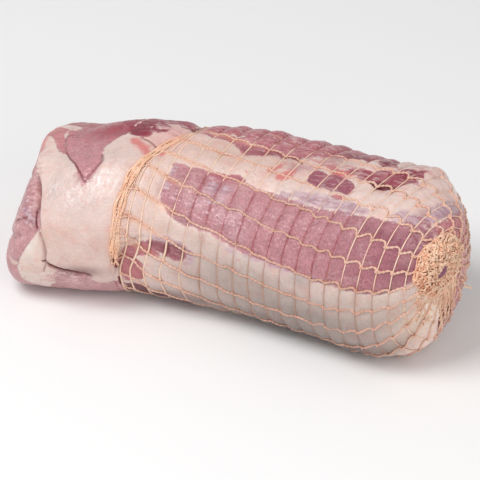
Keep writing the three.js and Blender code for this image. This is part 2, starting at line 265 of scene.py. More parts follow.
@dataclass
class NetLayout:
    """Where the rings, the lengthwise threads and the hem of the net run."""

    body: RoastBody
    threads: int = 20
    last_ring: int = 21
    start: float = 128.3
    pitch: float = 13.85
    crowding: float = 0.092
    free_places: Row = (0, 0.28, 0.62, 1)
    hem: float = 125.0
    slant: float = 29.0
    slant_angle: float = 118.0
    slant_spread: float = 47.5
    buried_angles: Span = Span(-80, 20, 2, 8)
    sag: float = 9.0
    sag_angles: Span = Span(-120, 60, 12, 28)
    sag_rings: Span = Span(-1, 2, 6.5, 5.5)
    hitch: float = 6.5
    hitch_angles: Span = Span(-100, 60, 36, 24)
    hitch_end: float = 152.0
    hitch_fade: float = 22.0
    first_thread: float = 110.0
    twist_from: float = 233.0
    twist_slope: float = 0.168
    twist_curve: float = -0.001
    drift: float = 0.8
    drift_rings: float = 4.0
    sway: float = 1.5
    radius: float = 58.0
    rounds: int = 6

    @property
    def step(self) -> float:
        """Angle between neighbouring threads."""
        return 360 / self.threads

    def hem_station(self, angle: Array) -> Array:
        """Station of the hem, which slants towards the gathered end at the top."""
        return self.hem + self.slant * bell(turn_from(angle, self.slant_angle) / self.slant_spread)

    def buried(self, angle: Array) -> Array:
        """Share by which the hem is buried low at the front."""
        return self.buried_angles.share(turn_from(angle))

    def ring_rest(self, ring: Array) -> Array:
        """Station of a ring away from the hem."""
        return self.start + self.pitch * ring - self.crowding * ring * ring

    def ring_station(self, ring: Array, angle: Array) -> Array:
        """Station of a ring: -1 is the hem, and the first rings crowd to it.

        Args:
            ring: Ring coordinates.
            angle: Angles.

        Returns:
            The stations.
        """
        free_rings = len(self.free_places) - 2
        share = np.interp(ring, np.arange(-1, free_rings + 1), self.free_places)
        hem = self.hem_station(angle)
        near = hem + (self.ring_rest(free_rings) - hem) * share
        near = np.where(ring >= free_rings, self.ring_rest(ring), near)
        return near - self.sag * self.sag_angles.share(turn_from(angle)) * self.sag_rings.share(ring)

    def thread_angle(self, thread: Array, s: Array) -> Array:
        """Angle of a thread at a station, with the net's twist.

        Args:
            thread: Thread coordinates.
            s: Stations.

        Returns:
            The angles.
        """
        run = np.maximum(s, self.hem) - self.twist_from
        twist = self.twist_slope * run + self.twist_curve * run * run
        angle = self.first_thread - self.step * thread - twist
        low = self.hitch_angles.share(turn_from(angle))
        return angle + self.hitch * low * smooth((self.hitch_end - s) / self.hitch_fade)

    def thread_distance(self, s: Array, angle: Array) -> Array:
        """Distance round the roast to the nearest thread, in millimetres."""
        count = (self.thread_angle(0, s) - angle) / self.step
        return np.abs(count - np.round(count)) * math.radians(self.step) * self.radius

    def crossing(self, ring: Array, thread: Array) -> tuple[Array, Array]:
        """Where a ring and a thread cross, with a little drift of the net.

        Args:
            ring, thread: Places on the net.

        Returns:
            Station and angle of each crossing.
        """
        s = self.ring_rest(np.maximum(ring, 0))
        for _ in range(self.rounds):
            angle = self.thread_angle(thread, s)
            s = self.ring_station(ring, angle)
        free = self.drift * Span(-1, self.drift_rings, self.last_ring, self.drift_rings).share(ring)
        turn = np.radians(angle)
        spot = np.stack([s, self.radius * np.cos(turn), self.radius * np.sin(turn)], -1).reshape(-1, 3)
        wander = noise(spot, size=34, seed=5, octaves=1).reshape(np.shape(s))
        swing = noise(spot, size=46, seed=9, octaves=1).reshape(np.shape(s))
        return s + free * wander, angle + self.sway * free * swing


@dataclass(frozen=True)
class Lobe:
    """Rounded patch of the roast: a swelling or hollow, or how far something else reaches."""

    s: float
    angle: float
    along: float
    around: float
    height: float

    def weight(self, s: Array, angle: Array) -> Array:
        """Share of the patch at each place."""
        return bell(np.hypot((s - self.s) / self.along, turn_from(angle, self.angle) / self.around))

    def rise(self, s: Array, angle: Array) -> Array:
        """Height or strength of the patch at each place."""
        return self.height * self.weight(s, angle)


@dataclass(frozen=True)
class Zone(Lobe):
    """Soft change of tint round a place."""

    tint: Colour


@dataclass(frozen=True)
class Crease:
    """Narrow crease, crevice or strand of fat along a line of places, with painted shade along it where it
    has any.
    """

    line: tuple[Place, ...]
    width: float
    depth: float = 0.0
    shade: float = 0.0

    def distance(self, s: Array, angle: Array) -> Array:
        """Distance from the line; a degree counts as a millimetre.

        Args:
            s, angle: Places on the roast.

        Returns:
            Distance of each place, in millimetres.
        """
        spots = np.stack([s, turn_from(angle, self.line[0][1]) + self.line[0][1]], -1)
        best = np.full(len(spots), FAR)
        for start, end in itertools.pairwise(np.array(self.line, float)):
            run = end - start
            t = np.clip((spots - start) @ run / (run @ run), 0, 1)
            best = np.minimum(best, np.linalg.norm(spots - start - t[:, None] * run, axis=1))
        return best


@dataclass(frozen=True)
class Region:
    """Patch of one tissue, with an outline of places and its own tint."""

    outline: tuple[Place, ...]
    tint: Colour = (200, 150, 153)
    reach: float = 14.0

    def rounded(self) -> Array:
        """Outline with its corners cut once."""
        corners = np.array(self.outline, float)
        after = np.roll(corners, -1, axis=0)
        return np.stack([0.75 * corners + 0.25 * after, 0.25 * corners + 0.75 * after], 1).reshape(-1, 2)

    def inside(self, s: Array, angle: Array) -> Array:
        """Distance inside the outline; a degree counts as a millimetre.

        Args:
            s, angle: Places on the roast.

        Returns:
            Distance of each place from the outline, negative outside it and never past the reach.
        """
        outline = self.rounded()
        low, high = outline.min(0) - self.reach, outline.max(0) + self.reach
        centre = float(outline[:, 1].mean())
        spots = np.stack([s, centre + turn_from(angle, centre)], -1).reshape(-1, 2)
        near = np.all((spots > low) & (spots < high), axis=1)
        result = np.full(len(spots), -self.reach)
        spots = spots[near]
        best = np.full(len(spots), self.reach)
        within = np.zeros(len(spots), bool)
        for start, end in zip(outline, np.roll(outline, -1, axis=0), strict=True):
            run = end - start
            t = np.clip((spots - start) @ run / max(run @ run, 1e-9), 0, 1)
            best = np.minimum(best, np.linalg.norm(spots - start - t[:, None] * run, axis=1))
            if start[1] != end[1]:
                crosses = (spots[:, 1] < start[1]) != (spots[:, 1] < end[1])
                at = start[0] + (spots[:, 1] - start[1]) * run[0] / run[1]
                within ^= crosses & (spots[:, 0] < at)
        result[near] = np.where(within, best, -best)
        return result.reshape(np.shape(s))


def total_rise(lobes: Iterable[Lobe], s: Array, angle: Array) -> Array:
    """Sum of the heights of some patches at each place."""
    return sum(lobe.rise(s, angle) for lobe in lobes)


def strongest(lobes: Iterable[Lobe], s: Array, angle: Array) -> Array:
    """Strength of the strongest of some patches at each place."""
    return np.max([lobe.rise(s, angle) for lobe in lobes], axis=0)


def deepest(regions: Iterable[Region], s: Array, angle: Array) -> Array:
    """Distance inside the nearest of some regions at each place, negative outside them all."""
    return np.max([region.inside(s, angle) for region in regions], axis=0)


class Layer(StrEnum):
    """Names of the values that the meshes carry at their vertices."""

    LEAN = "lean"
    SILVER = "silver"
    SALMON = "salmon"
    FOLD_SHADE = "fold_shade"
    MIXED = "mixed"
    MOIST_AND_PAINTED_SHINE = "moist_and_painted_shine"
    STAIN = "stain"
    RING_GAP = "ring_gap"
    LEAN_TINT_AND_PAINTED_LIGHT = "lean_tint_and_painted_light"
    FAT_TINT_AND_PAINTED_LIGHT = "fat_tint_and_painted_light"
    STAIN_AND_SHADE = "stain_and_shade"
    WIDTH = "width"
    SIZE = "size"
    ALONG = "along"
    OUT = "out"


# Muscles over the fat; where two overlap, the later one gives the tint
LEAN_REGIONS = {
    "bared muscle": Region(
        ((115, 99), (111, 96.5), (107, 88), (106.5, 78), (109, 72), (112, 64), (111, 56), (109, 47),
         (106, 45), (101.5, 55), (97, 62), (88.5, 69.5), (80, 78), (77, 84.5), (75, 89), (73.5, 95),
         (72, 101), (72, 107), (75, 112), (76, 124), (86, 134), (96, 150), (100, 162), (118, 150),
         (122, 112)), (200, 141, 147)),
    "purple top": Region(
        ((112, 110), (116, 99), (121, 93), (126, 91.5), (130, 91), (132, 94), (130, 99), (133, 98),
         (137, 95), (140, 98), (142, 103), (139, 109), (143, 114), (151, 116), (150, 140), (134, 166),
         (112, 168), (96, 150), (98, 124)), (154, 58, 78)),
    "pink corner muscle": Region(
        ((50, 102), (57, 95.5), (63, 94.5), (67, 90), (70, 85), (73, 79.5), (78, 76.5), (80.5, 76),
         (79, 80), (76, 85), (74, 89), (73, 94), (71, 98), (71, 103), (70, 108), (64, 110), (54, 106)),
         (200, 132, 136)),
    "corner rim": Region(
        ((53, 111), (60, 114), (68, 118), (78, 122), (88, 128), (99, 150), (70, 158), (54, 136)),
         (184, 118, 122)),
    "lower strip": Region(
        ((98, -12), (103, -13.5), (109, -15), (113, -18), (114, -24), (119, -28), (126, -24), (130, -30),
         (131, -60), (124, -96), (96, -104), (84, -72), (87, -40), (93, -27), (97, -21)), (200, 151, 154)),
    "top muscle": Region(
        ((150, 105), (162, 104), (172, 100.5), (183, 98), (187, 95), (197, 86), (205, 88.5), (213, 91),
         (221, 91.5), (226, 90), (231, 91), (234, 97), (245, 103), (260, 104), (275, 116), (289, 122),
         (284, 148), (240, 160), (180, 158), (152, 140)), (192, 121, 128)),
    "eye muscle": Region(
        ((154, 70), (160, 67), (176, 67), (184, 65), (194, 62), (206, 62), (219, 59), (236, 59), (248, 58),
         (260, 56.5), (273, 57), (286, 60), (299, 61.5), (315, 64), (330, 70), (336, 81), (342, 84),
         (348, 81), (356, 78), (366, 60), (366, 40), (357, 26), (347, 19), (336, 13.5), (308, 13.5),
         (285, 13), (262, 15), (234, 17), (219, 20), (205, 25.5), (193, 27), (184, 27.5), (176, 28.5),
         (169, 32.5), (159, 39), (156, 46), (156, 54), (159, 62)), (186, 130, 136)),
    "lobe over the eye muscle": Region(
        ((182, 65), (193, 65.5), (200, 67), (209, 66), (210, 62), (199, 61), (190, 61)), (182, 108, 118)),
    "dark patch": Region(
        ((247, 74), (246, 82), (248, 87), (253, 88), (257, 84), (262, 86.5), (269, 85), (278, 83.5),
         (283, 78), (281, 71), (271, 72), (263, 71), (257, 72)), (160, 90, 105)),
    "scrap under the dark patch": Region(((270, 68.5), (280, 70.5), (283, 68), (275, 65.5)), (196, 120, 126)),
    "right top muscle": Region(
        ((266, 95), (276, 99), (284, 101), (293, 105), (298, 111), (309, 114), (313, 108), (311, 99),
         (307, 93), (301, 88), (294, 84.5), (288, 86.5), (283, 89), (276, 90), (268, 91)), (164, 76, 90)),
    "red top scrap": Region(
        ((274, 114), (273, 122), (279, 127), (288, 118), (290, 109), (282, 107.5)), (152, 74, 86)),
    "wrapping muscle": Region(
        ((345, 85), (349, 104), (334, 146), (342, 170), (347, 210), (344, 234), (343, 262), (340, 271),
         (356, 277.5), (374, 277.5), (374, 223), (372, 144), (368, 112), (360, 80)), (202, 130, 134)),
    "first island": Region(
        ((150, 12), (160, 14.5), (170, 14.5), (183, 13.5), (187, 9), (183, 4), (177, 2.5), (170, 3.5),
         (163, 5), (154, 7.5)), (150, 89, 97)),
    "second island": Region(
        ((131, 7), (142, 10.5), (149, 12), (154, 9), (166, 4), (157, 1.5), (146, 1.5), (136, -3), (130, 0)),
         (180, 110, 117)),
    "third island": Region(
        ((130, 0), (137, -1), (146, -4), (150, -10), (149, -17), (143, -22), (138, -20), (136, -25),
         (131, -24), (128, -14), (128, -4)), (192, 120, 124)),
    "low island": Region(
        ((129, -30), (136, -26.5), (144, -28), (150, -32.5), (159, -34.5), (166, -36.5), (177, -36.5),
         (186, -46), (180, -62), (150, -74), (130, -70)), (124, 64, 74)),
    "scrap in the tuft": Region(((368, -70), (368, 80), (389, 80), (389, -70)), (134, 76, 104)),
    "back muscle": Region(
        ((166, 180), (190, 190), (225, 186), (262, 192), (300, 187), (324, 192), (332, 208), (318, 226),
         (290, 233), (252, 228), (210, 234), (178, 226), (160, 206)), (196, 144, 147)),
    "muscle behind the bare end": Region(
        ((64, 190), (90, 178), (118, 184), (128, 205), (120, 232), (96, 244), (68, 232)), (188, 136, 140)),
    "underside strip": Region(
        ((188, 272), (214, 284), (250, 280), (282, 288), (276, 300), (236, 298), (200, 300), (182, 288)),
         (178, 138, 140)),
}

# Silverskin over the muscles, and bluish streaks of sinew
SILVER_REGIONS = (
    Region(((233, 60), (240, 62.5), (247, 64), (254, 66), (273, 65), (285, 68), (299, 69),
            (304, 64), (298, 60), (284, 59), (273, 56.5), (262, 55.5), (251, 57), (238, 57.5))),
    Region(((315, 69), (322, 77), (334, 82), (339, 73), (330, 70), (321, 67))),
    Region(((333, 80), (335, 92), (336, 112), (330, 139), (337, 144), (351, 104), (347, 88), (342, 80))),
    Region(((62, 39), (66, 32), (72, 26), (79, 21), (77, 17), (69, 20), (62, 28))),
    Region(((157, 66), (160, 66), (162, 60), (159, 54), (161, 46), (158, 45), (155, 56))),
    Region(((150, 14), (160, 20), (174, 18), (192, 14), (192, 2), (180, 1), (187, 9), (172, 14))),
    Region(((184, 58), (194, 58), (206, 57), (205, 51.5), (194, 49.5), (186, 51))),
    Region(((186, 49), (196, 48), (205, 46), (203, 43), (192, 44))),
    Region(((205, 21), (225, 16), (262, 13), (300, 13.5), (300, 16), (262, 16), (225, 18.5))),
)

# Blood-stained fat
SALMON_REGIONS = (
    Region(((219, 73), (218, 80), (229, 87), (226, 78))),
    Region(((229, 67), (226, 74), (231, 78), (235, 85), (238, 78), (236, 71))),
    Region(((256, 88), (264, 91.5), (276, 91), (274, 86), (264, 85))),
    Region(((118, 90), (122, 92), (130, 84), (137, 76), (134, 71), (129, 77), (123, 83))),
    Region(((141, 76), (145, 79), (148, 74), (144, 71))),
    Region(((56, 62), (52, 84), (54, 104), (60, 108), (62, 90), (62, 70))),
)

# Tints of the lean, each laid over the ones before it. Some are painted shade: darker near the tuft, under
# the flap's edge and at the bottom edge; the pale ones on the lower left of the eye muscle are painted
# highlights.
LEAN_TINTS_AND_PAINTED_LIGHT = (
    Zone(208, 93, 24, 4, 0.85, (150, 84, 94)), Zone(230, 90, 9, 3.5, 0.6, (146, 76, 84)),
    Zone(294, 87, 8, 5, 0.9, (110, 38, 48)), Zone(60, 112, 10, 12, 0.7, (226, 162, 152)),
    Zone(121, 106, 9, 11.5, 0.95, (104, 30, 46)), Zone(134, 120, 10, 12, 0.6, (138, 50, 72)),
    Zone(102, 110, 24, 16, 0.85, (162, 62, 76)), Zone(340, 46, 46, 30, 0.85, (154, 89, 102)),
    Zone(165, 50, 16, 16, 0.5, (176, 116, 124)), Zone(205, 120, 80, 15, 0.6, (184, 92, 104)),
    Zone(78, 30, 10, 16, 0.6, (180, 132, 136)), Zone(104, -16, 10, 3.5, 0.7, (130, 72, 84)),
    Zone(178, 30, 12, 3, 0.6, (150, 104, 116)), Zone(262, 112, 12, 7, 0.9, (132, 68, 78)),
    Zone(184, 42, 8, 6, 0.5, (212, 172, 178)), Zone(209, 37, 9, 6, 0.5, (212, 174, 180)),
    Zone(221, 28, 7, 6, 0.5, (204, 168, 174)), Zone(210, 58, 7, 3, 0.5, (212, 170, 168)),
    Zone(304, 105, 8, 7, 0.6, (116, 36, 56)), Zone(326, 56, 22, 5, 0.6, (134, 64, 82)),
    Zone(197, 51, 6, 4, 0.6, (214, 180, 184)), Zone(345, 46, 5, 5, 0.6, (204, 160, 156)),
    Zone(357, 149, 12, 14, 0.6, (224, 150, 150)), Zone(343, 69, 9, 5, 0.6, (138, 66, 84)),
    Zone(75, 41, 7, 8, 0.7, (228, 182, 175)), Zone(146, -18, 8, 6, 0.7, (172, 96, 102)),
    Zone(65, 36, 5, 9, 0.6, (184, 128, 132)), Zone(227, 89, 8, 4, 0.7, (132, 60, 70)),
    Zone(283, 115, 8, 6, 0.6, (130, 52, 66)), Zone(318, 24, 12, 6, 0.6, (160, 92, 104)),
    Zone(140, -3, 8, 6, 0.6, (160, 86, 96)), Zone(152, -38, 12, 8, 1.0, (66, 14, 28)),
    Zone(93, -34, 8, 9, 0.5, (168, 112, 116)), Zone(353, 50, 13, 40, 0.5, (136, 76, 92)),
    Zone(344, -92, 26, 36, 0.8, (176, 124, 126)),
)

# Tints of the fat, each laid over the ones before it. The grey and dark ones along the lower front and the
# underside are painted shade, partly the fat's own greyer tone, as is the dark band over the crease under the
# flap's edge; the near-white ones below the tuft are painted light.
FAT_TINTS_AND_PAINTED_LIGHT = (
    Zone(104, 30, 26, 40, 0.8, (220, 196, 190)), Zone(105, -4, 26, 14, 0.7, (212, 182, 173)),
    Zone(80, -16, 16, 20, 0.8, (224, 207, 197)), Zone(138, 30, 14, 40, 0.5, (221, 195, 188)),
    Zone(150, 46, 18, 40, 0.4, (222, 188, 172)), Zone(196, 86, 60, 16, 0.6, (206, 169, 155)),
    Zone(219, 0, 58, 16, 0.9, (170, 150, 142)), Zone(284, -14, 78, 15, 0.92, (160, 146, 139)),
    Zone(312, 6, 20, 12, 0.5, (176, 158, 150)), Zone(334, 0, 26, 20, 0.6, (196, 172, 160)),
    Zone(262, -44, 90, 22, 0.97, (70, 60, 57)), Zone(312, 120, 22, 24, 0.7, (224, 188, 178)),
    Zone(354, -50, 18, 34, 0.9, (228, 202, 184)), Zone(144, 104, 16, 24, 0.8, (228, 180, 176)),
    Zone(109, -10.5, 11, 4, 1.0, (138, 104, 100)), Zone(182, -32, 30, 8, 0.75, (110, 88, 84)),
    Zone(368, -46, 10, 40, 0.85, (255, 236, 218)), Zone(322, 130, 13, 12, 0.95, (255, 230, 222)),
    Zone(244, 87, 8, 4, 0.7, (196, 158, 160)), Zone(252, 101, 8, 4, 0.8, (180, 134, 132)),
    Zone(154, 48, 5, 8, 0.6, (194, 158, 156)), Zone(310, 69, 7, 5, 0.6, (212, 176, 164)),
    Zone(339, -85, 12, 14, 0.9, (255, 226, 216)), Zone(195, 21, 14, 6, 0.6, (188, 164, 154)),
    Zone(237, -30, 24, 6, 0.6, (126, 104, 98)), Zone(336, 86, 7, 6, 0.6, (168, 124, 128)),
    Zone(104, 18, 6, 5, 0.5, (208, 170, 154)), Zone(78, 6, 7, 8, 0.6, (242, 240, 230)),
    Zone(354, 24, 8, 8, 0.6, (136, 112, 112)), Zone(119, 12, 7, 6, 0.6, (206, 170, 160)),
    Zone(139, 83, 8, 6, 0.5, (206, 160, 150)), Zone(196, 3, 12, 7, 0.5, (206, 188, 180)),
    Zone(137, 10, 7, 5, 0.6, (236, 206, 200)), Zone(254, 75, 6, 4, 0.6, (232, 178, 178)),
    Zone(235, 83, 6, 4, 0.6, (176, 116, 128)), Zone(322, -52, 24, 8, 0.6, (124, 104, 96)),
    Zone(168, 24, 14, 5, 0.6, (196, 170, 158)), Zone(92, 14, 7, 9, 0.6, (206, 166, 150)),
    Zone(106, 52, 5, 5, 0.9, (176, 122, 122)), Zone(308, -42, 10, 6, 0.6, (66, 52, 50)),
    Zone(274, 11, 9, 5, 0.6, (148, 136, 132)), Zone(233, 6, 8, 6, 0.5, (196, 192, 184)),
    Zone(90, -6, 7, 7, 0.6, (234, 204, 194)), Zone(135, -19, 6, 6, 0.6, (200, 150, 144)),
)

# Where lean and fat run into each other in streaks
MARBLED = (
    Lobe(262, 92, 36, 9, 0.85), Lobe(300, 106, 22, 14, 0.7), Lobe(222, 96, 22, 6, 0.8),
    Lobe(262, 78, 20, 7, 0.5), Lobe(142, 107, 13, 10, 0.95), Lobe(344, 88, 12, 24, 0.8),
    Lobe(230, 116, 76, 14, 0.7), Lobe(264, 78, 22, 8, 0.4), Lobe(66, 24, 14, 20, 0.6),
    Lobe(62, 54, 12, 26, 0.45), Lobe(102, -20, 16, 9, 0.9), Lobe(178, 9, 9, 5, 0.35),
    Lobe(150, 4, 40, 14, 0.12),
)

# Where the surface is moist: it is smoother there, and painted highlights go on its colour
MOIST_AND_PAINTED_SHINE = (
    Lobe(88, 44, 7, 8, 0.9), Lobe(113, 50, 11, 8, 1.0), Lobe(104, 42, 12, 6, 0.6),
    Lobe(176, 46, 18, 10, 0.9), Lobe(206, 36, 22, 9, 0.9), Lobe(252, 36, 40, 14, 0.35),
    Lobe(210, 118, 70, 12, 0.6), Lobe(64, 30, 12, 16, 0.6),
)

# Hollows that the net spans
RECESSES = (
    Lobe(168, 9, 13, 6, 2.6), Lobe(299, 86, 10, 6, 1.6),
)

# Folds and crevices of the meat, with their width, depth and painted shade
CREASES = (
    Crease(((94, -10.5), (101, -13.5), (108, -15.5), (114, -17.5)), 2.0, 4.0, 1.0),
    Crease(((89, -7), (95, -11)), 0.8, 1.2, 0.6),
    Crease(((127, 3), (127, -3), (128, -10)), 0.8, 1.6, 1.0),
    Crease(((128, -21.5), (128, -31)), 0.8, 1.2, 0.9),
    Crease(((86, 13), (90, 6), (91.5, -1), (90.5, -9)), 1.0, 1.8, 0.3),
    Crease(((82, 16), (79.5, 21), (76.5, 27)), 1.0, 2.0, 0.75),
    Crease(((64, 54), (72, 40), (77, 28)), 1.8, 2.2, 0.4),
    Crease(((91, -10), (89, -16)), 0.8, 0.6, 0.4),
    Crease(((107, 49), (102, 55.5), (96.5, 62.5), (88, 70), (80, 78.5)), 0.7, 0.7, 0.6),
    Crease(((107, 49), (110, 57), (112, 64), (109, 72)), 1.2, 0.8, 0.4),
    Crease(((80, 78), (75, 88), (73, 97), (76, 103)), 1.0, 1.0, 0.35),
    Crease(((60, 17.5), (66, 21), (70, 22)), 1.1, 1.2, 0.5),
    Crease(((75, 20), (79, 17), (82, 13.5)), 0.9, 0.7, 0.25),
    Crease(((50, 3), (60, 6), (68, 9)), 2.2, 2.2, 0.15),
    Crease(((126, 91), (132, 87), (139, 81)), 0.8, 0.9, 0.5),
    Crease(((285, 88.5), (291, 86), (298, 86), (304, 91)), 1.1, 0.8, 0.7),
    Crease(((231, 93), (236, 89.5)), 0.9, 0.5, 0.5),
    Crease(((146, 112), (152, 116), (153, 130)), 1.6, 1.6, 0.5),
    Crease(((96, -40), (110, -62), (114, -84)), 2.2, 1.6, 0.3),
    Crease(((70, 184), (92, 176), (118, 182)), 2.2, 1.6, 0.3),
)

# Strands of fat that cross the lean
STRANDS = (
    Crease(((129, 103), (132, 97), (136, 92)), 0.6),
    Crease(((134, 104), (137, 98), (141, 93)), 0.5),
    Crease(((116, 110), (119, 115), (121, 119.5), (123, 127)), 0.9),
    Crease(((136, 106), (139, 101), (141, 105)), 0.6),
    Crease(((152, 104), (170, 108), (186, 107)), 0.7),
)

# Swellings and hollows of the whole roast
LOBES = (
    Lobe(60, -18, 24, 28, 8), Lobe(80, 46, 18, 24, -8), Lobe(58, 102, 13, 20, 4),
    Lobe(308, 124, 14, 16, 5), Lobe(339, -82, 20, 22, 4.2), Lobe(192, 124, 26, 20, 2.2),
    Lobe(148, 112, 7, 12, -1.4), Lobe(126, 112, 14, 22, 1.8), Lobe(106, 122, 16, 16, 1.8),
    Lobe(79, 117, 11, 14, -2.2), Lobe(379, 18, 6.5, 40, 6.2), Lobe(96, 96, 22, 26, -3),
    Lobe(36, 60, 10, 30, -4), Lobe(30, 200, 16, 40, 4), Lobe(92, 190, 24, 34, 3),
    Lobe(92, 270, 28, 26, 2),
)


@dataclass
class EndFace:
    """Rolled meat that shows at the bare end: a few muscles with pale seams between them."""

    rim: tuple[Place, ...] = (
        (-180, 62), (-140, 66), (-100, 76), (-60, 84), (-40, 86), (-30, 78), (-22, 73), (-12, 69), (-5, 72),
        (2, 76), (10, 81), (16, 86), (25, 85), (35, 80), (45, 74), (52, 63), (64, 60), (100, 55), (116, 66),
        (150, 64), (180, 62),
    )
    muscles: tuple[Place, ...] = ((0, 4), (-30, 26), (-34, -14), (-6, -36), (30, -24), (46, 30), (4, 44))
    seam: float = 1.1
    warp: float = 5.0
    warp_size: float = 22.0
    warp_seeds: tuple[int, int] = (3, 4)

    def inside(self, s: Array, angle: Array) -> tuple[Array, Array]:
        """Distance inside the nearest muscle, and the distance to a seam between two.

        Args:
            s, angle: Places on the roast.

        Returns:
            Distance inside the lean, negative outside it, and distance to the nearest seam.
        """
        rim_angles, rim_stations = np.array(self.rim, float).T
        within = np.interp(turn_from(angle), rim_angles, rim_stations) - s
        spots = np.stack([s * np.cos(np.radians(angle)), s * np.sin(np.radians(angle))], -1)
        flat = np.stack([s * 0, *spots.T], -1)
        spots += self.warp * np.stack([noise(flat, self.warp_size, seed) for seed in self.warp_seeds], -1)
        gaps = np.sort([np.linalg.norm(spots - centre, axis=1) for centre in self.muscles], axis=0)
        between = (gaps[1] - gaps[0]) / 2
        return np.minimum(within, between - self.seam), np.where(within > 0, between, FAR)


@dataclass
class Meat:
    """Surface of the roast: its tissues, its relief and the places that the threads lie on."""

    body: RoastBody
    net: NetLayout
    end_face: EndFace = field(default_factory=EndFace)
    flap: Region = Region(
        ((57, 77), (70, 54), (76.5, 42), (80.5, 35), (86, 25), (91.5, 12), (94.5, 5), (93, -3), (96, -6),
         (101, -8.5), (107, -10.5), (113, -12), (119, -16), (126, -17), (127.5, -9), (128, 4), (132, 12),
         (150, 18), (180, 24), (180, 90), (110, 110), (60, 110)),
    )
    flap_height: float = 5.0
    flap_round: float = 3.6
    flap_spread: float = 0.6
    flap_top: float = 80.0
    flap_fade: float = 24.0
    shoulder: float = 34.0
    lip: float = 1.3
    lip_place: float = 1.6
    lip_width: float = 1.5
    lip_top: float = 60.0
    lip_fade: float = 20.0
    lip_end: float = 4.0
    seam_depth: float = 2.2
    seam_width: float = 3.2
    groove: float = 1.4
    groove_fade: float = 0.9
    hem_groove: float = 0.9
    hem_groove_width: float = 2.2
    hem_groove_widening: float = 2.0
    top_pinch: float = 1.8
    pinch: Lobe = Lobe(140, 118, 60, 40, 1.0)
    collar: float = 0.8
    collar_place: float = 9.0
    collar_width: float = 5.5
    pillow_rise: float = 1.9
    hem_swell: float = 0.35
    hem_swell_rings: float = 3.0
    top_swell: float = 0.35
    top_swell_angle: float = 126.0
    top_swell_spread: float = 22.0
    flat_pitch: float = 4.0
    full_pitch: float = 10.0
    ring_edge: float = 0.45
    thread_edge: float = 0.7
    thread_dent: float = 0.22
    unevenness: float = 0.3
    hem_stain_place: float = 2.0
    hem_stain_width: float = 3.2
    yarn_stain: float = 0.85
    yarn_stain_width: float = 1.9
    yarn_stain_run: Span = Span(-2, 6, 60, 40)
    yarn_stain_angles: Span = Span(-4, 14, 124, 16)
    tuft_stain: Lobe = Lobe(371, -42, 9, 46, 0.12)
    lean_colour: Colour = (198, 147, 150)
    fat_colour: Colour = (231, 207, 199)
    tint_margin: float = 3.0
    tint_fade: float = 5.0
    lean_sink: float = 0.25
    thread_rest: float = 0.6

    def lean(self, s: Array, angle: Array) -> Array:
        """Distance inside the lean meat.

        Args:
            s, angle: Places on the roast.

        Returns:
            Distance in millimetres, negative in fat.
        """
        best = np.maximum(self.end_face.inside(s, angle)[0], deepest(LEAN_REGIONS.values(), s, angle))
        for strand in STRANDS:
            best = np.minimum(best, strand.distance(s, angle) - strand.width)
        return best

    def stain(self, s: Array, angle: Array) -> Array:
        """Stain of the threads on the meat: at the hem, beside the yarns next to it and below the tuft.

        Args:
            s, angle: Places on the roast.

        Returns:
            Share of the stain.
        """
        from_hem = s - self.net.hem_station(angle)
        hem = bell((from_hem - self.hem_stain_place) / self.hem_stain_width) * (1 - self.net.buried(angle))
        yarns = self.yarn_stain * bell(self.net.thread_distance(s, angle) / self.yarn_stain_width)
        yarns = yarns * self.yarn_stain_run.share(from_hem)
        yarns = yarns * self.yarn_stain_angles.share(turn_from(angle))
        return np.max([hem, yarns, self.tuft_stain.rise(s, angle)], axis=0)

    def creases(self, s: Array, angle: Array) -> tuple[Array, Array]:
        """Folds and crevices of the meat.

        Args:
            s, angle: Places on the roast.

        Returns:
            Their depth, and their painted shade.
        """
        depth, shade = np.zeros(len(s)), np.zeros(len(s))
        for crease in CREASES:
            share = bell(crease.distance(s, angle) / crease.width)
            depth += crease.depth * share
            shade = np.maximum(shade, crease.shade * share)
        seam = self.end_face.inside(s, angle)[1]
        return depth + self.seam_depth * bell(seam / self.seam_width), shade

    def flap_rise(self, s: Array, angle: Array) -> Array:
        """Height of the fat flap, which runs on a little way under the net.

        Args:
            s, angle: Places on the roast.

        Returns:
            The height.
        """
        edge = self.flap.inside(s, angle)
        rise = np.sqrt(1 - np.square(1 - np.clip((edge + self.flap_spread) / self.flap_round, 0, 1)))
        past_hem = 1 - smooth((s - self.net.hem_station(angle)) / self.shoulder)
        low = smooth((self.flap_top - turn_from(angle)) / self.flap_fade)
        return self.flap_height * rise * low * past_hem

    def hem_depth(self, s: Array, angle: Array) -> Array:
        """Depth of the crease under the hem, deeper over the top."""
        return self.hem_groove + self.top_pinch * self.pinch.weight(s, angle)

    def bare_relief(self, s: Array, angle: Array) -> Array:
        """Relief of the bare end, without its fine grain.

        Args:
            s, angle: Places on the roast.

        Returns:
            Height over the bare form.
        """
        to_hem = self.net.hem_station(angle) - s
        high = self.pinch.weight(s, angle)
        collar = self.collar * high * bell((to_hem - self.collar_place) / self.collar_width)
        width = self.hem_groove_width + self.hem_groove_widening * high
        dip = self.hem_depth(s, angle) * bell(to_hem / width)
        return total_rise(LOBES, s, angle) + self.flap_rise(s, angle) + collar - dip

    def lipped(self, s: Array, angle: Array) -> tuple[Array, Array]:
        """Places shifted past the flap's edge, so that its rim hangs over the crease.

        Args:
            s, angle: Places on the roast.

        Returns:
            The shifted stations and angles.
        """
        edge, probe = self.flap.inside(s, angle), self.body.probe
        share = self.lip * bell((edge - self.lip_place) / self.lip_width)
        share = share * smooth((self.lip_top - turn_from(angle)) / self.lip_fade)
        share = share * smooth((self.net.hem_station(angle) - s) / self.lip_end)
        by_s = (self.flap.inside(s + probe, angle) - edge) / probe
        by_angle = (self.flap.inside(s, angle + probe) - edge) / probe
        return s - share * by_s, angle - share * by_angle

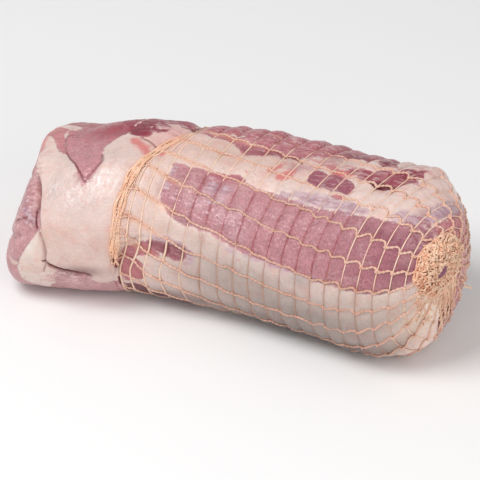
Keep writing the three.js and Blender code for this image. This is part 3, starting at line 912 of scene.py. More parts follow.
    def swell(self, ring: Array, s: Array, angle: Array) -> Array:
        """Rise of a mesh's middle, less where the rings crowd together.

        Args:
            ring: Ring coordinates.
            s, angle: Places on the roast.

        Returns:
            The rise.
        """
        pitch = self.net.ring_station(ring + 0.5, angle) - self.net.ring_station(ring - 0.5, angle)
        free = np.clip((pitch - self.flat_pitch) / (self.full_pitch - self.flat_pitch), 0, 1)
        share = self.hem_swell + (1 - self.hem_swell) * smooth((ring - 0.5) / self.hem_swell_rings)
        share = share + self.top_swell * bell(turn_from(angle, self.top_swell_angle) / self.top_swell_spread)
        share = share * self.body.size_at(s) * free
        return self.pillow_rise * share * smooth((self.net.last_ring + 0.5 - ring) / 2)

    def netted_relief(self, ring: Array, thread: Array, s: Array, angle: Array, bridge: float = 0.0) -> Array:
        """Relief under the net.

        Args:
            ring, thread: Places on the net.
            s, angle: The same places on the roast.
            bridge: Least rise over a ring's crease, for what spans it.

        Returns:
            Height over the bare form.
        """
        over_ring = np.maximum(np.abs(np.sin(np.pi * ring)) ** self.ring_edge, bridge)
        over_thread = np.abs(np.sin(np.pi * thread)) ** self.thread_edge
        cell = np.stack([np.floor(ring) * 37, thread, np.zeros(np.shape(ring))], -1).reshape(-1, 3)
        uneven = 1 + self.unevenness * noise(cell, size=1.7, seed=61, octaves=1).reshape(np.shape(ring))
        pillow = over_ring * (1 - self.thread_dent * (1 - over_thread)) * uneven
        groove = self.groove + (self.hem_depth(s, angle) - self.groove) * smooth(-ring / self.groove_fade)
        bulk = total_rise(LOBES, s, angle) + self.flap_rise(s, angle)
        return bulk - groove + self.swell(ring, s, angle) * pillow

    def rested(self, points: Array) -> Array:
        """Points of a thread, lifted where they would pass through what the roast lies on."""
        points[..., 2] = np.maximum(points[..., 2], self.thread_rest)
        return points

    def on_net(self, ring: Array, thread: Array, lift: Array | float, bridge: float = 0.0) -> Array:
        """Points at a height over the meat under the net.

        Args:
            ring, thread: Places on the net.
            lift: Height over the meat.
            bridge: Least rise over a ring's crease.

        Returns:
            The points.
        """
        ring, thread = np.broadcast_arrays(np.asarray(ring, float), np.asarray(thread, float))
        s, angle = self.net.crossing(ring, thread)
        height = self.netted_relief(ring, thread, s, angle, bridge) + lift
        return self.rested(self.body.over(s, angle, height))

    def tints_and_painted_light(self, s: Array, angle: Array) -> dict[Layer, Array]:
        """Colours of the lean and of the fat, with painted shade and painted light in them.

        Args:
            s, angle: Places on the roast.

        Returns:
            Linear colours for the mesh's attributes, by name.
        """
        lean = np.tile(linear(self.lean_colour), (len(s), 1))
        for region in LEAN_REGIONS.values():
            share = smooth((region.inside(s, angle) + self.tint_margin) / self.tint_fade)[:, None]
            lean += share * (np.array(linear(region.tint)) - lean)
        fat = np.tile(linear(self.fat_colour), (len(s), 1))
        # Zones of painted shade and painted light go over the colours here.
        for tint, zones in ((lean, LEAN_TINTS_AND_PAINTED_LIGHT), (fat, FAT_TINTS_AND_PAINTED_LIGHT)):
            for zone in zones:
                tint += zone.rise(s, angle)[:, None] * (np.array(linear(zone.tint)) - tint)
        return {Layer.LEAN_TINT_AND_PAINTED_LIGHT: lean, Layer.FAT_TINT_AND_PAINTED_LIGHT: fat}

    def fields(self, s: Array, angle: Array) -> dict[Layer, Array]:
        """Tissue fields for the mesh's attributes.

        Args:
            s, angle: Places on the roast.

        Returns:
            Distances inside the tissues in millimetres, and shares of the rest, by name.
        """
        return {
            Layer.LEAN: self.lean(s, angle),
            Layer.SILVER: np.maximum(deepest(SILVER_REGIONS, s, angle), -OUTSIDE),
            Layer.SALMON: np.maximum(deepest(SALMON_REGIONS, s, angle), -OUTSIDE),
            # Painted shade in the folds and crevices
            Layer.FOLD_SHADE: self.creases(s, angle)[1],
            Layer.MIXED: strongest(MARBLED, s, angle),
            Layer.MOIST_AND_PAINTED_SHINE: strongest(MOIST_AND_PAINTED_SHINE, s, angle),
            Layer.STAIN: self.stain(s, angle),
        }

    def grain(self, points: Array, lean: Array) -> Array:
        """Fine relief: soft lumps in the fat and a tighter grain in the lean.

        Args:
            points: Places in millimetres.
            lean: Distance inside the lean meat.

        Returns:
            Height of the grain.
        """
        lumps = 0.55 * noise(points, size=24, seed=21) + 0.2 * noise(points, size=7, seed=22)
        fibres = 0.3 * noise(points * (1, 0.6, 0.6), size=4.5, seed=23)
        fibres = fibres + 0.35 * noise(points, size=15, seed=24)
        share = smooth((lean + 1) / 2)
        return lumps * (1 - share) + (fibres - self.lean_sink) * share


def linked(name: str, data: bpy.types.ID) -> Piece:
    """New object of the scene, at the origin."""
    piece = bpy.data.objects.new(name, data)
    bpy.context.scene.collection.objects.link(piece)
    return piece


def mesh_piece(name: str, points: Array, edges: Array | None = None, faces: Iterable = ()) -> Piece:
    """Object with a new mesh.

    Args:
        name: Name of the object.
        points: Vertices, one row each, in millimetres.
        edges: Pairs of vertices, if it is a mesh of lines.
        faces: Lists of vertices, if it is a skin.

    Returns:
        The linked object, at the origin.
    """
    mesh = bpy.data.meshes.new(name)
    mesh.from_pydata((points * METRES).tolist(), [] if edges is None else edges.tolist(), faces)
    return linked(name, mesh)


def grid_mesh(name: str, points: Array, first: Array, last: Array) -> Piece:
    """Closed skin over rows of points that run round the roast.

    Args:
        name: Name of the piece.
        points: Rows, columns and coordinates, in millimetres.
        first: Point that closes the first row.
        last: Point that closes the last row.

    Returns:
        The linked object, at the origin.
    """
    rows, columns = points.shape[:2]
    index = np.arange(rows * columns).reshape(rows, columns)
    beside = np.roll(index, -1, axis=1)
    quads = np.stack([index[:-1], index[1:], beside[1:], beside[:-1]], -1).reshape(-1, 4)
    start = np.stack([np.full(columns, rows * columns), index[0], beside[0]], -1)
    end = np.stack([np.full(columns, rows * columns + 1), beside[-1], index[-1]], -1)
    faces = [*quads.tolist(), *start.tolist(), *end.tolist()]
    piece = mesh_piece(name, np.concatenate([points.reshape(-1, 3), [first, last]]), None, faces)
    piece.data.shade_smooth()
    return piece


def set_attribute(piece: Piece, name: Layer, values: Array) -> None:
    """Gives a mesh a value, a direction or a colour at each vertex; poles left over take the last one.

    Args:
        piece: The mesh's object.
        name: Name of the attribute.
        values: One row for each vertex.
    """
    columns = values.shape[1] if values.ndim == 2 else 1
    kind, key = {1: ("FLOAT", "value"), 3: ("FLOAT_VECTOR", "vector"), 4: ("FLOAT_COLOR", "color")}[columns]
    layer = piece.data.attributes.new(name, kind, "POINT")
    spare = len(piece.data.vertices) - len(values)
    full = np.concatenate([values, np.repeat(values[-1:], spare, axis=0)]).astype(np.float32)
    layer.data.foreach_set(key, full.ravel())


class Term:
    """A number in a shader, which takes part in Python arithmetic."""

    def __init__(self, sheet: "NodeSheet", socket: Socket) -> None:
        """Wraps an output socket."""
        self.sheet = sheet
        self.socket = socket

    def combine(self, operation: str, first: "Term | float", second: "Term | float") -> "Term":
        """One Math node."""
        sockets = {"Value": first, "Value_001": second}
        node = self.sheet.put("ShaderNodeMath", {"operation": operation}, sockets)
        return Term(self.sheet, node.outputs[0])

    def __add__(self, other: "Term | float") -> "Term":
        """Sum."""
        return self.combine("ADD", self, other)

    __radd__ = __add__

    def __mul__(self, other: "Term | float") -> "Term":
        """Product."""
        return self.combine("MULTIPLY", self, other)

    __rmul__ = __mul__

    def __sub__(self, other: "Term | float") -> "Term":
        """Difference."""
        return self.combine("SUBTRACT", self, other)

    def __rsub__(self, other: float) -> "Term":
        """Difference from a number."""
        return self.combine("SUBTRACT", other, self)

    def __abs__(self) -> "Term":
        """Size without sign."""
        return self.combine("ABSOLUTE", self, 0.0)

    def step(self, low: float, high: float) -> "Term":
        """Soft step from 0 at low to 1 at high.

        Args:
            low: Where the step starts.
            high: Where it ends, which may be the smaller one.

        Returns:
            The step.
        """
        sockets = {"Value": self, "From Min": min(low, high), "From Max": max(low, high)}
        sockets |= {"To Min": float(low > high), "To Max": float(low <= high)}
        node = self.sheet.put("ShaderNodeMapRange", {"interpolation_type": "SMOOTHSTEP"}, sockets)
        return Term(self.sheet, node.outputs["Result"])


class NodeSheet:
    """Node tree that is filled in by calls."""

    def __init__(self, tree: bpy.types.NodeTree) -> None:
        """Starts on an empty tree."""
        self.tree = tree
        tree.nodes.clear()

    def put(self, kind: str, settings: dict[str, object], sockets: dict[str, object]) -> bpy.types.Node:
        """Adds a node.

        Args:
            kind: Blender's name of the node type.
            settings: The node's own properties, set first.
            sockets: Values or links for its inputs, by socket identifier.

        Returns:
            The node.
        """
        node = self.tree.nodes.new(kind)
        for name, value in settings.items():
            setattr(node, name, value)
        for key, value in sockets.items():
            socket = next(s for s in node.inputs if s.identifier == key)
            value = value.socket if isinstance(value, Term) else value
            if isinstance(value, Socket):
                self.tree.links.new(value, socket)
            else:
                socket.default_value = value
        return node


class ShaderSheet(NodeSheet):
    """Node tree of one material, with the calls that the finishes share."""

    def __init__(self, name: str) -> None:
        """Makes the material."""
        self.material = bpy.data.materials.new(name)
        self.material.use_nodes = True
        super().__init__(self.material.node_tree)
        self.place = self.put("ShaderNodeTexCoord", {}, {}).outputs["Object"]

    def noise(self, size: float, detail: float = 2.0, stretch: Triple = (1, 1, 1)) -> Term:
        """Noise over the piece.

        Args:
            size: Size of its features, in millimetres.
            detail: How many finer layers it has.
            stretch: Scale along each axis; below 1 the features grow longer.

        Returns:
            A number from -0.5 to 0.5.
        """
        spot = self.put("ShaderNodeMapping", {}, {"Vector": self.place, "Scale": stretch}).outputs[0]
        sockets = {"Vector": spot, "Scale": 1 / (size * METRES), "Detail": detail, "Roughness": 0.55}
        return Term(self, self.put("ShaderNodeTexNoise", {}, sockets).outputs[0]) - 0.5

    def value(self, name: Layer) -> Term:
        """Number attribute of the mesh."""
        return Term(self, self.put("ShaderNodeAttribute", {"attribute_name": name}, {}).outputs["Fac"])

    def colour(self, name: Layer) -> Socket:
        """Colour attribute of the mesh."""
        return self.put("ShaderNodeAttribute", {"attribute_name": name}, {}).outputs["Color"]

    def mix(self, share: Term, first: object, second: object) -> Socket:
        """Colour between two, each of which is a socket or a display colour.

        Args:
            share: Share of the second one.
            first: Colour where the share is 0.
            second: Colour where the share is 1.

        Returns:
            The colour.
        """
        ends = [linear(c) if isinstance(c, tuple) else c for c in (first, second)]
        sockets = {"Factor_Float": share, "A_Color": ends[0], "B_Color": ends[1]}
        outputs = self.put("ShaderNodeMix", {"data_type": "RGBA"}, sockets).outputs
        return next(socket for socket in outputs if socket.identifier == "Result_Color")

    def scaled(self, colour: Socket, share: Term) -> Socket:
        """Colour made brighter or darker."""
        sockets = {"Vector": colour, "Scale": share}
        return self.put("ShaderNodeVectorMath", {"operation": "SCALE"}, sockets).outputs[0]

    def filtered(self, colour: Socket, tint: Colour) -> Socket:
        """Colour seen through a tint."""
        sockets = {"Vector": colour, "Vector_001": linear(tint)[:3]}
        return self.put("ShaderNodeVectorMath", {"operation": "MULTIPLY"}, sockets).outputs[0]

    def finish(self, colour: Socket, rough: Term | float, height: Term, fixed: dict[str, object]) -> Material:
        """Closes the material.

        Args:
            colour: Base colour socket.
            rough: Roughness.
            height: Relief in millimetres.
            fixed: Constant values of the shader's own sockets.

        Returns:
            The material.
        """
        bump = self.put("ShaderNodeBump", {}, {"Distance": METRES, "Strength": 1.0, "Height": height})
        varied = {"Base Color": colour, "Roughness": rough, "Normal": bump.outputs[0]}
        shader = self.put("ShaderNodeBsdfPrincipled", {}, {**varied, **fixed})
        self.put("ShaderNodeOutputMaterial", {}, {"Surface": shader.outputs[0]})
        return self.material


class MeatSheet(ShaderSheet):
    """Node tree of the meat, with the noises and fields that its tissues share."""

    def __init__(self, name: str) -> None:
        """Makes the noises: even ones by size, streaks along the roast, and a down drawn out across it."""
        super().__init__(name)
        self.fine, self.middle, self.broad = self.noise(1.5, 3), self.noise(6, 3), self.noise(30, 2)
        self.streak, self.band = self.noise(2.2, 3, (0.3, 1, 1)), self.noise(7, 3, (0.35, 1, 1))
        self.down = self.noise(2.4, 3, (1, 0.5, 0.5))
        self.mixed, self.moist_and_painted_shine = self.value(Layer.MIXED), self.value(Layer.MOIST_AND_PAINTED_SHINE)


@dataclass(frozen=True)
class MeatFinish:
    """Moist raw pork: lean, fat, silverskin and the creases that the net presses, with painted shade in the
    creases and painted highlights where it is moist.
    """

    name: str = "moist_pork"
    # The two crease colours are painted shade in the creases that the rings press.
    lean_crease_shade: Colour = (178, 92, 96)
    fat_crease_shade: Colour = (206, 164, 146)
    # Painted shade of the folds and crevices.
    fold_shade: Colour = (122, 50, 58)
    marble: Colour = (226, 198, 194)
    silver: Colour = (168, 126, 142)
    sinew: Colour = (201, 173, 181)
    salmon: Colour = (212, 110, 108)
    raw: Colour = (188, 102, 110)
    blush: Colour = (253, 233, 230)
    flush: Colour = (206, 124, 120)
    # Painted highlights over the moist fat and the moist lean.
    painted_highlight: Colour = (250, 240, 238)
    painted_glint: Colour = (240, 208, 214)
    stain: Colour = (232, 172, 136)
    stain_share: float = 0.7
    roughness: float = 0.34

    def flesh(self, sheet: MeatSheet) -> Socket:
        """Colour of the lean: its tint, which carries painted shade and highlights, with a fine grain, veins,
        specks and strings of marbling.

        Args:
            sheet: The node tree.

        Returns:
            The colour.
        """
        fine, middle, streak, mixed = sheet.fine, sheet.middle, sheet.streak, sheet.mixed
        vein = abs(sheet.noise(11, 3, (0.5, 1, 1))).step(0.03, 0.0) * sheet.noise(26, 1).step(0.0, 0.12)
        speck = sheet.noise(2.4, 2).step(0.14, 0.26) * (0.18 + mixed * 0.5)
        strings = mixed * (streak * 0.7 + middle * 0.3).step(-0.01, 0.12) * 0.85
        shade = 1.0 + fine * 0.9 + middle * 0.35 + streak * 0.4
        flesh = sheet.scaled(sheet.colour(Layer.LEAN_TINT_AND_PAINTED_LIGHT), shade)
        return sheet.mix(vein * (0.2 + mixed * 0.6) + speck + strings, flesh, self.marble)

    def fat(self, sheet: MeatSheet) -> Socket:
        """Colour of the fat: its tint, which carries painted shade and light, with a blush, flushed threads
        of blood and shreds of lean.

        Args:
            sheet: The node tree.

        Returns:
            The colour.
        """
        fine, streak, band = sheet.fine, sheet.streak, sheet.band
        tone = 1.0 + fine * 0.2 + sheet.down * 0.14 + sheet.middle * 0.16 + sheet.broad * 0.2
        fat = sheet.scaled(sheet.colour(Layer.FAT_TINT_AND_PAINTED_LIGHT), tone)
        fat = sheet.mix(sheet.noise(9, 4).step(-0.02, 0.2) * 0.7, fat, sheet.filtered(fat, self.blush))
        thread = abs(sheet.noise(14, 2, (1, 0.8, 0.5)) - 0.02).step(0.012, 0.0)
        fat = sheet.mix(thread * sheet.noise(20, 1).step(0.06, 0.18) * 0.55, fat, self.flush)
        shreds = sheet.mixed * (band * 0.5 + streak * 0.5 + fine * 0.2).step(-0.02, 0.08)
        return sheet.mix(shreds, fat, self.raw)

    def build(self) -> Material:
        """Makes the material.

        Returns:
            The material.
        """
        sheet = MeatSheet(self.name)
        fine, middle, streak, down = sheet.fine, sheet.middle, sheet.streak, sheet.down
        ragged = middle * 5 + fine * 1.6 + sheet.mixed * (sheet.band * 26 + streak * 9)
        lean = (sheet.value(Layer.LEAN) + ragged).step(-0.55, 0.45)
        silver = (sheet.value(Layer.SILVER) + middle * 9 + streak * 12).step(-1.5, 3.0) * 0.85
        salmon = (sheet.value(Layer.SALMON) + middle * 5 + streak * 4).step(-1.4, 1.8) * 0.8

        skin = sheet.mix(lean, self.fat(sheet), self.flesh(sheet))
        skin = sheet.mix(silver, skin, sheet.mix(streak.step(-0.08, 0.1), self.silver, self.sinew))
        skin = sheet.mix(salmon, skin, self.salmon)
        # Painted shade in the creases that the rings press, stronger on the lean.
        crease = (sheet.value(Layer.RING_GAP) + fine * 0.6 + middle * 1.4).step(0.85, 0.15)
        crease_shade = sheet.mix(lean, self.fat_crease_shade, self.lean_crease_shade)
        skin = sheet.mix(crease * (0.25 + lean * 0.4), skin, crease_shade)
        skin = sheet.mix(sheet.value(Layer.STAIN) * self.stain_share, skin, self.stain)
        # Painted shade in the folds and crevices.
        skin = sheet.mix(sheet.value(Layer.FOLD_SHADE).step(0.06, 0.6), skin, self.fold_shade)

        # Painted highlights: a pale colour over the moist fat and pale flecks over the moist lean.
        skin = sheet.mix(sheet.moist_and_painted_shine * down.step(-0.04, 0.12) * (1 - lean) * 0.6, skin, self.painted_highlight)
        painted_glint = (fine * 0.65 + streak * 0.35).step(0.04, 0.13) * 0.8
        skin = sheet.mix(sheet.moist_and_painted_shine * lean * painted_glint, skin, self.painted_glint)
        rough = self.roughness + middle * 0.4 - sheet.moist_and_painted_shine * 0.12
        pores = (sheet.noise(0.9, 2) + 0.5) * (0.1 + lean * 0.35)
        height = fine * 0.4 + streak * 0.25 + middle * 0.6 + down * 0.25 + pores
        fixed = {
            "Subsurface Weight": 0.12,
            "Subsurface Radius": (1.0, 0.35, 0.25),
            "Subsurface Scale": 0.003,
            "Specular IOR Level": 0.4,
            "Coat Weight": 0.1,
            "Coat Roughness": 0.22,
        }
        return sheet.finish(skin, rough, height, fixed)


@dataclass(frozen=True)
class ThreadFinish:
    """Cotton or elastic thread, moist; its darker colour is stain from the meat in some places and painted
    shade in others, on the lower front and deep in the tuft.
    """

    name: str
    light: Colour
    dark: Colour
    rough: float = 0.75
    juice_and_shade: Colour = (190, 138, 118)

    def build(self) -> Material:
        """Makes the material.

        Returns:
            The material.
        """
        sheet = ShaderSheet(self.name)
        fibre, patch = sheet.noise(0.5, 2), sheet.noise(7, 2)
        colour = sheet.mix(patch.step(-0.15, 0.2) * 0.6 + (fibre + 0.1) * 0.7, self.light, self.dark)
        # Stain, and painted shade, in the darker colour.
        colour = sheet.mix(sheet.value(Layer.STAIN_AND_SHADE), colour, self.juice_and_shade)
        return sheet.finish(colour, self.rough, fibre * 0.2, {"Sheen Weight": 0.1})


class Finish(Enum):
    """The finishes of the roast and its net."""

    MEAT = MeatFinish()
    YARN = ThreadFinish("net_yarn", (238, 198, 178), (227, 171, 146))
    ELASTIC = ThreadFinish("net_elastic", (248, 220, 198), (240, 196, 168), 0.55, (166, 116, 96))
    TUFT = ThreadFinish("net_tuft", (255, 220, 192), (250, 188, 150), juice_and_shade=(222, 128, 92))
    # The core is darker and more orange than the curls: meat juice in its packed threads, and painted shade
    # in the gaps between the curls.
    CORE = ThreadFinish("net_tuft_core", (240, 152, 112), (216, 112, 78))

    def material(self) -> Material:
        """The material, made once."""
        return bpy.data.materials.get(self.value.name) or self.value.build()


class GeometrySheet(NodeSheet):
    """Geometry Nodes tree with named inputs that works on a mesh and ends in plain geometry."""

    def __init__(self, name: str, sizes: dict[str, float]) -> None:
        """Makes the tree.

        Args:
            name: Name of the tree.
            sizes: Usual value of each named input, which also says whether it is a whole number.
        """
        super().__init__(bpy.data.node_groups.new(name, "GeometryNodeTree"))
        face = self.tree.interface
        face.new_socket("Geometry", in_out="OUTPUT", socket_type="NodeSocketGeometry")
        face.new_socket("Geometry", in_out="INPUT", socket_type="NodeSocketGeometry")
        for title, usual in sizes.items():
            kind = "NodeSocketInt" if isinstance(usual, int) else "NodeSocketFloat"
            face.new_socket(title, in_out="INPUT", socket_type=kind).default_value = usual
        face.new_socket("Finish", in_out="INPUT", socket_type="NodeSocketMaterial")
        self.inputs = self.put("NodeGroupInput", {}, {}).outputs

    def attribute(self, name: Layer, kind: str = "FLOAT") -> Socket:
        """Attribute of the geometry."""
        node = self.put("GeometryNodeInputNamedAttribute", {"data_type": kind}, {"Name": name})
        return node.outputs["Attribute"]

    def product(self, first: object, second: object) -> Socket:
        """Product of two numbers."""
        sockets = {"Value": first, "Value_001": second}
        return self.put("ShaderNodeMath", {"operation": "MULTIPLY"}, sockets).outputs[0]

    def close(self, geometry: Socket) -> None:
        """Ends the tree in smooth, realized geometry with its material.

        Args:
            geometry: What the tree has made.
        """
        real = self.put("GeometryNodeRealizeInstances", {}, {"Geometry": geometry}).outputs[0]
        soft = self.put("GeometryNodeSetShadeSmooth", {}, {"Geometry": real}).outputs[0]
        done = self.put("GeometryNodeSetMaterial", {}, {"Geometry": soft, "Material": self.inputs["Finish"]})
        output = self.put("NodeGroupOutput", {}, {})
        self.tree.links.new(done.outputs[0], output.inputs[0])

    def apply(self, guide: Piece, name: str, values: dict[str, object]) -> Piece:
        """Runs the tree on a guide mesh.

        Args:
            guide: The mesh that the tree follows, which is removed.
            name: Name of the finished piece.
            values: Values of the named inputs.

        Returns:
            The piece, as a plain mesh at the origin.
        """
        modifier = guide.modifiers.new("shape", "NODES")
        modifier.node_group = self.tree
        for item in self.tree.interface.items_tree:
            if item.in_out == "INPUT" and item.name in values:
                modifier[item.identifier] = values[item.name]
        evaluated = guide.evaluated_get(bpy.context.evaluated_depsgraph_get())
        mesh = bpy.data.meshes.new_from_object(evaluated)
        guide.modifiers.remove(modifier)
        bpy.data.objects.remove(guide)
        mesh.name = name
        return linked(name, mesh)


@dataclass
class Strand:
    """Line that a thread follows, with its width and how much stain and painted shade it takes."""

    points: Array
    width: Array | float = 1.0
    closed: bool = False
    stain_and_shade: Array | float = 0.0


class ThreadSweep(GeometrySheet):
    """Sweeps an oval, twisting section along every line of a guide mesh."""

    def __init__(self) -> None:
        """Makes the tree."""
        super().__init__("thread_sweep", {"Radius": 0.0007, "Sides": 8, "Flatness": 0.7, "Twist": 0.0})
        curve = self.put("GeometryNodeMeshToCurve", {}, {"Mesh": self.inputs["Geometry"]}).outputs[0]
        run = self.put("GeometryNodeSplineParameter", {}, {}).outputs["Length"]
        tilt = self.product(run, self.inputs["Twist"])
        turned = self.put("GeometryNodeSetCurveTilt", {}, {"Curve": curve, "Tilt": tilt}).outputs[0]
        sides = {"Resolution": self.inputs["Sides"], "Radius": self.inputs["Radius"]}
        circle = self.put("GeometryNodeCurvePrimitiveCircle", {}, sides).outputs[0]
        axes = {"X": 1.0, "Y": self.inputs["Flatness"], "Z": 1.0}
        scale = self.put("ShaderNodeCombineXYZ", {}, axes).outputs[0]
        oval = self.put("GeometryNodeTransform", {}, {"Geometry": circle, "Scale": scale}).outputs[0]
        width = self.attribute(Layer.WIDTH)
        sockets = {"Curve": turned, "Profile Curve": oval, "Scale": width, "Fill Caps": True}
        self.close(self.put("GeometryNodeCurveToMesh", {}, sockets).outputs[0])

    def run(self, name: str, strands: list[Strand], finish: Finish, **sizes: float) -> Piece:
        """Threads along strands, as one piece.

        Args:
            name: Name of the piece.
            strands: The lines, in millimetres.
            finish: Finish of the thread.
            **sizes: Values of the tree's inputs.

        Returns:
            The piece.
        """
        edges, start = [], 0
        for strand in strands:
            index = np.arange(start, start + len(strand.points))
            edges.append(np.stack([index[:-1], index[1:]], -1))
            if strand.closed:
                edges.append(np.array([[index[-1], index[0]]]))
            start += len(index)
        points = np.concatenate([strand.points for strand in strands])
        guide = mesh_piece(name + "_guide", points, np.concatenate(edges))
        for title in (Layer.WIDTH, Layer.STAIN_AND_SHADE):
            values = [np.broadcast_to(getattr(strand, title), len(strand.points)) for strand in strands]
            set_attribute(guide, title, np.concatenate(values))
        return self.apply(guide, name, {**sizes, "Finish": finish.material()})


class KnotScatter(GeometrySheet):
    """Sets a small coiled knot at every vertex of a guide mesh, turned to the thread there."""

    def __init__(self) -> None:
        """Makes the tree."""
        super().__init__("knot_scatter", {"Radius": 0.00042, "Coil": 0.00052, "Seed": 3})
        coil = {"Resolution": 9, "Rotations": 1.4, "Height": 0.0011, "Reverse": False}
        coil |= {"Start Radius": self.inputs["Coil"], "End Radius": self.inputs["Coil"]}
        spiral = self.put("GeometryNodeCurveSpiral", {}, coil).outputs[0]
        section = {"Resolution": 4, "Radius": self.inputs["Radius"]}
        ring = self.put("GeometryNodeCurvePrimitiveCircle", {}, section).outputs[0]
        sockets = {"Curve": spiral, "Profile Curve": ring, "Fill Caps": True}
        knot = self.put("GeometryNodeCurveToMesh", {}, sockets).outputs[0]
        axes = {"Primary Axis": self.attribute(Layer.ALONG, "FLOAT_VECTOR")}
        axes |= {"Secondary Axis": self.attribute(Layer.OUT, "FLOAT_VECTOR")}
        settings = {"primary_axis": "Z", "secondary_axis": "X"}
        turn = self.put("FunctionNodeAxesToRotation", settings, axes).outputs[0]
        span = {"Min_001": 0.75, "Max_001": 1.3, "Seed": self.inputs["Seed"]}
        size = self.put("FunctionNodeRandomValue", {"data_type": "FLOAT"}, span).outputs[1]
        size = self.product(size, self.attribute(Layer.SIZE))
        sockets = {"Points": self.inputs["Geometry"], "Instance": knot, "Rotation": turn, "Scale": size}
        self.close(self.put("GeometryNodeInstanceOnPoints", {}, sockets).outputs[0])

    def run(self, name: str, points: Array, values: dict[Layer, Array]) -> Piece:
        """Knots at places.

        Args:
            name: Name of the piece.
            points: Places in millimetres.
            values: Direction of the thread, outward direction, size, and stain with painted shade at each
                place, by name.

        Returns:
            The piece.
        """
        guide = mesh_piece(name + "_guide", points)
        for title, rows in values.items():
            set_attribute(guide, title, rows)
        return self.apply(guide, name, {"Finish": Finish.YARN.material()})


@dataclass
class RoastMeat:
    """The two meshes of the meat, which meet in the crease under the hem."""

    meat: Meat
    bare_rows: int = 170
    bare_columns: int = 320
    first_row: float = 0.012
    overlap: float = 0.004
    tuck: float = 4.0
    rows_per_ring: int = 15
    columns_per_thread: int = 14
    gather_rows: int = 12
    pole_gap: float = 0.3
    bunching: float = 0.55
    grain_start: float = 12.0

    def dress(self, piece: Piece, fields: dict[Layer, Array]) -> Piece:
        """Adds the attributes and the material, and sets a piece of the meat in the frame.

        Args:
            piece: The bare mesh's object.
            fields: Values at its vertices, by name.

        Returns:
            The same object.
        """
        for name, values in fields.items():
            set_attribute(piece, name, values)
        piece.data.materials.append(Finish.MEAT.material())
        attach(piece, BODY)
        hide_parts("roast")
        return piece

    def skin(self, name: str, s: Array, angle: Array, relief: Array, ring_gap: Array) -> Piece:
        """Mesh over a grid of places.

        Args:
            name: Name of the piece.
            s, angle: Places on the roast, by rows and columns.
            relief: Relief without creases and grain.
            ring_gap: Distance to the nearest ring of the net.

        Returns:
            The piece.
        """
        shape, meat = s.shape, self.meat
        s, angle = s.ravel(), angle.ravel()
        fields = meat.fields(s, angle)
        base = meat.body.point(*meat.lipped(s, angle))
        depth = meat.creases(s, angle)[0] + total_rise(RECESSES, s, angle)
        height = relief.ravel() - depth + meat.grain(base, fields[Layer.LEAN]) * smooth(s / self.grain_start)
        points = base + meat.body.normal(s, angle) * height[:, None]
        points[:, 2] = np.maximum(points[:, 2], 0.0)
        points = points.reshape(*shape, 3)
        piece = grid_mesh(name, points, points[0].mean(0), points[-1].mean(0))
        return self.dress(piece, {**fields, **meat.tints_and_painted_light(s, angle), Layer.RING_GAP: ring_gap.ravel()})

    def bare_end(self) -> Piece:
        """Bare end, up to the hem and a little way under it.

        Returns:
            The piece.
        """
        share = np.concatenate([np.linspace(self.first_row, 1, self.bare_rows), [1 + self.overlap]])
        angle = np.linspace(0, 360, self.bare_columns, endpoint=False)
        share, angle = np.meshgrid(share, -angle, indexing="ij")
        s = share * self.meat.net.hem_station(angle)
        relief = self.meat.bare_relief(s.ravel(), angle.ravel()).reshape(s.shape)
        relief[-1] -= self.tuck
        return self.skin("meat_bare_end", s, angle, relief, np.full(s.shape, OUTSIDE))

    def barrel(self) -> Piece:
        """Netted length and the gathered end.

        Returns:
            The piece.
        """
        net = self.meat.net
        count = (net.last_ring + 1) * self.rows_per_ring
        even = np.arange(count + 1) / self.rows_per_ring - 1
        ring = even - self.bunching * np.sin(2 * np.pi * even) / (2 * np.pi)
        thread = np.arange(net.threads * self.columns_per_thread) / self.columns_per_thread
        ring, thread = np.meshgrid(ring, thread, indexing="ij")
        s, angle = net.crossing(ring, thread)
        relief = self.meat.netted_relief(ring, thread, s, angle)
        before, after = np.floor(ring), np.ceil(ring)
        pitch = net.ring_station(before + 1, angle) - net.ring_station(before, angle)
        gap = np.minimum(ring - before, np.where(after > before, after - ring, 1)) * pitch
        gap = np.where(ring > net.last_ring - 1, OUTSIDE, gap)
        last = self.meat.body.pole - self.pole_gap
        far = np.linspace(net.ring_rest(net.last_ring), last, self.gather_rows)[1:]
        far_s, far_thread = np.meshgrid(far, thread[0], indexing="ij")
        far_angle = net.thread_angle(far_thread, far_s)
        far_relief = total_rise(LOBES, far_s, far_angle) - self.meat.groove
        pairs = ((s, far_s), (angle, far_angle), (relief, far_relief), (gap, np.full(far_s.shape, OUTSIDE)))
        return self.skin("meat_netted", *[np.concatenate(pair) for pair in pairs])


@dataclass
class Netting:
    """A part of the net that lies on the meat."""

    meat: Meat
    sweep: ThreadSweep

    def placed(self, piece: Piece) -> Piece:
        """Sets a finished piece of the net in the frame.

        Args:
            piece: The piece.

        Returns:
            The same piece.
        """
        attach(piece, BODY)
        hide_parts("netting")
        return piece

    def spun(self, name: str, strands: list[Strand], finish: Finish, **sizes: float) -> Piece:
        """Threads along strands, set in the frame."""
        return self.placed(self.sweep.run(name, strands, finish, **sizes))


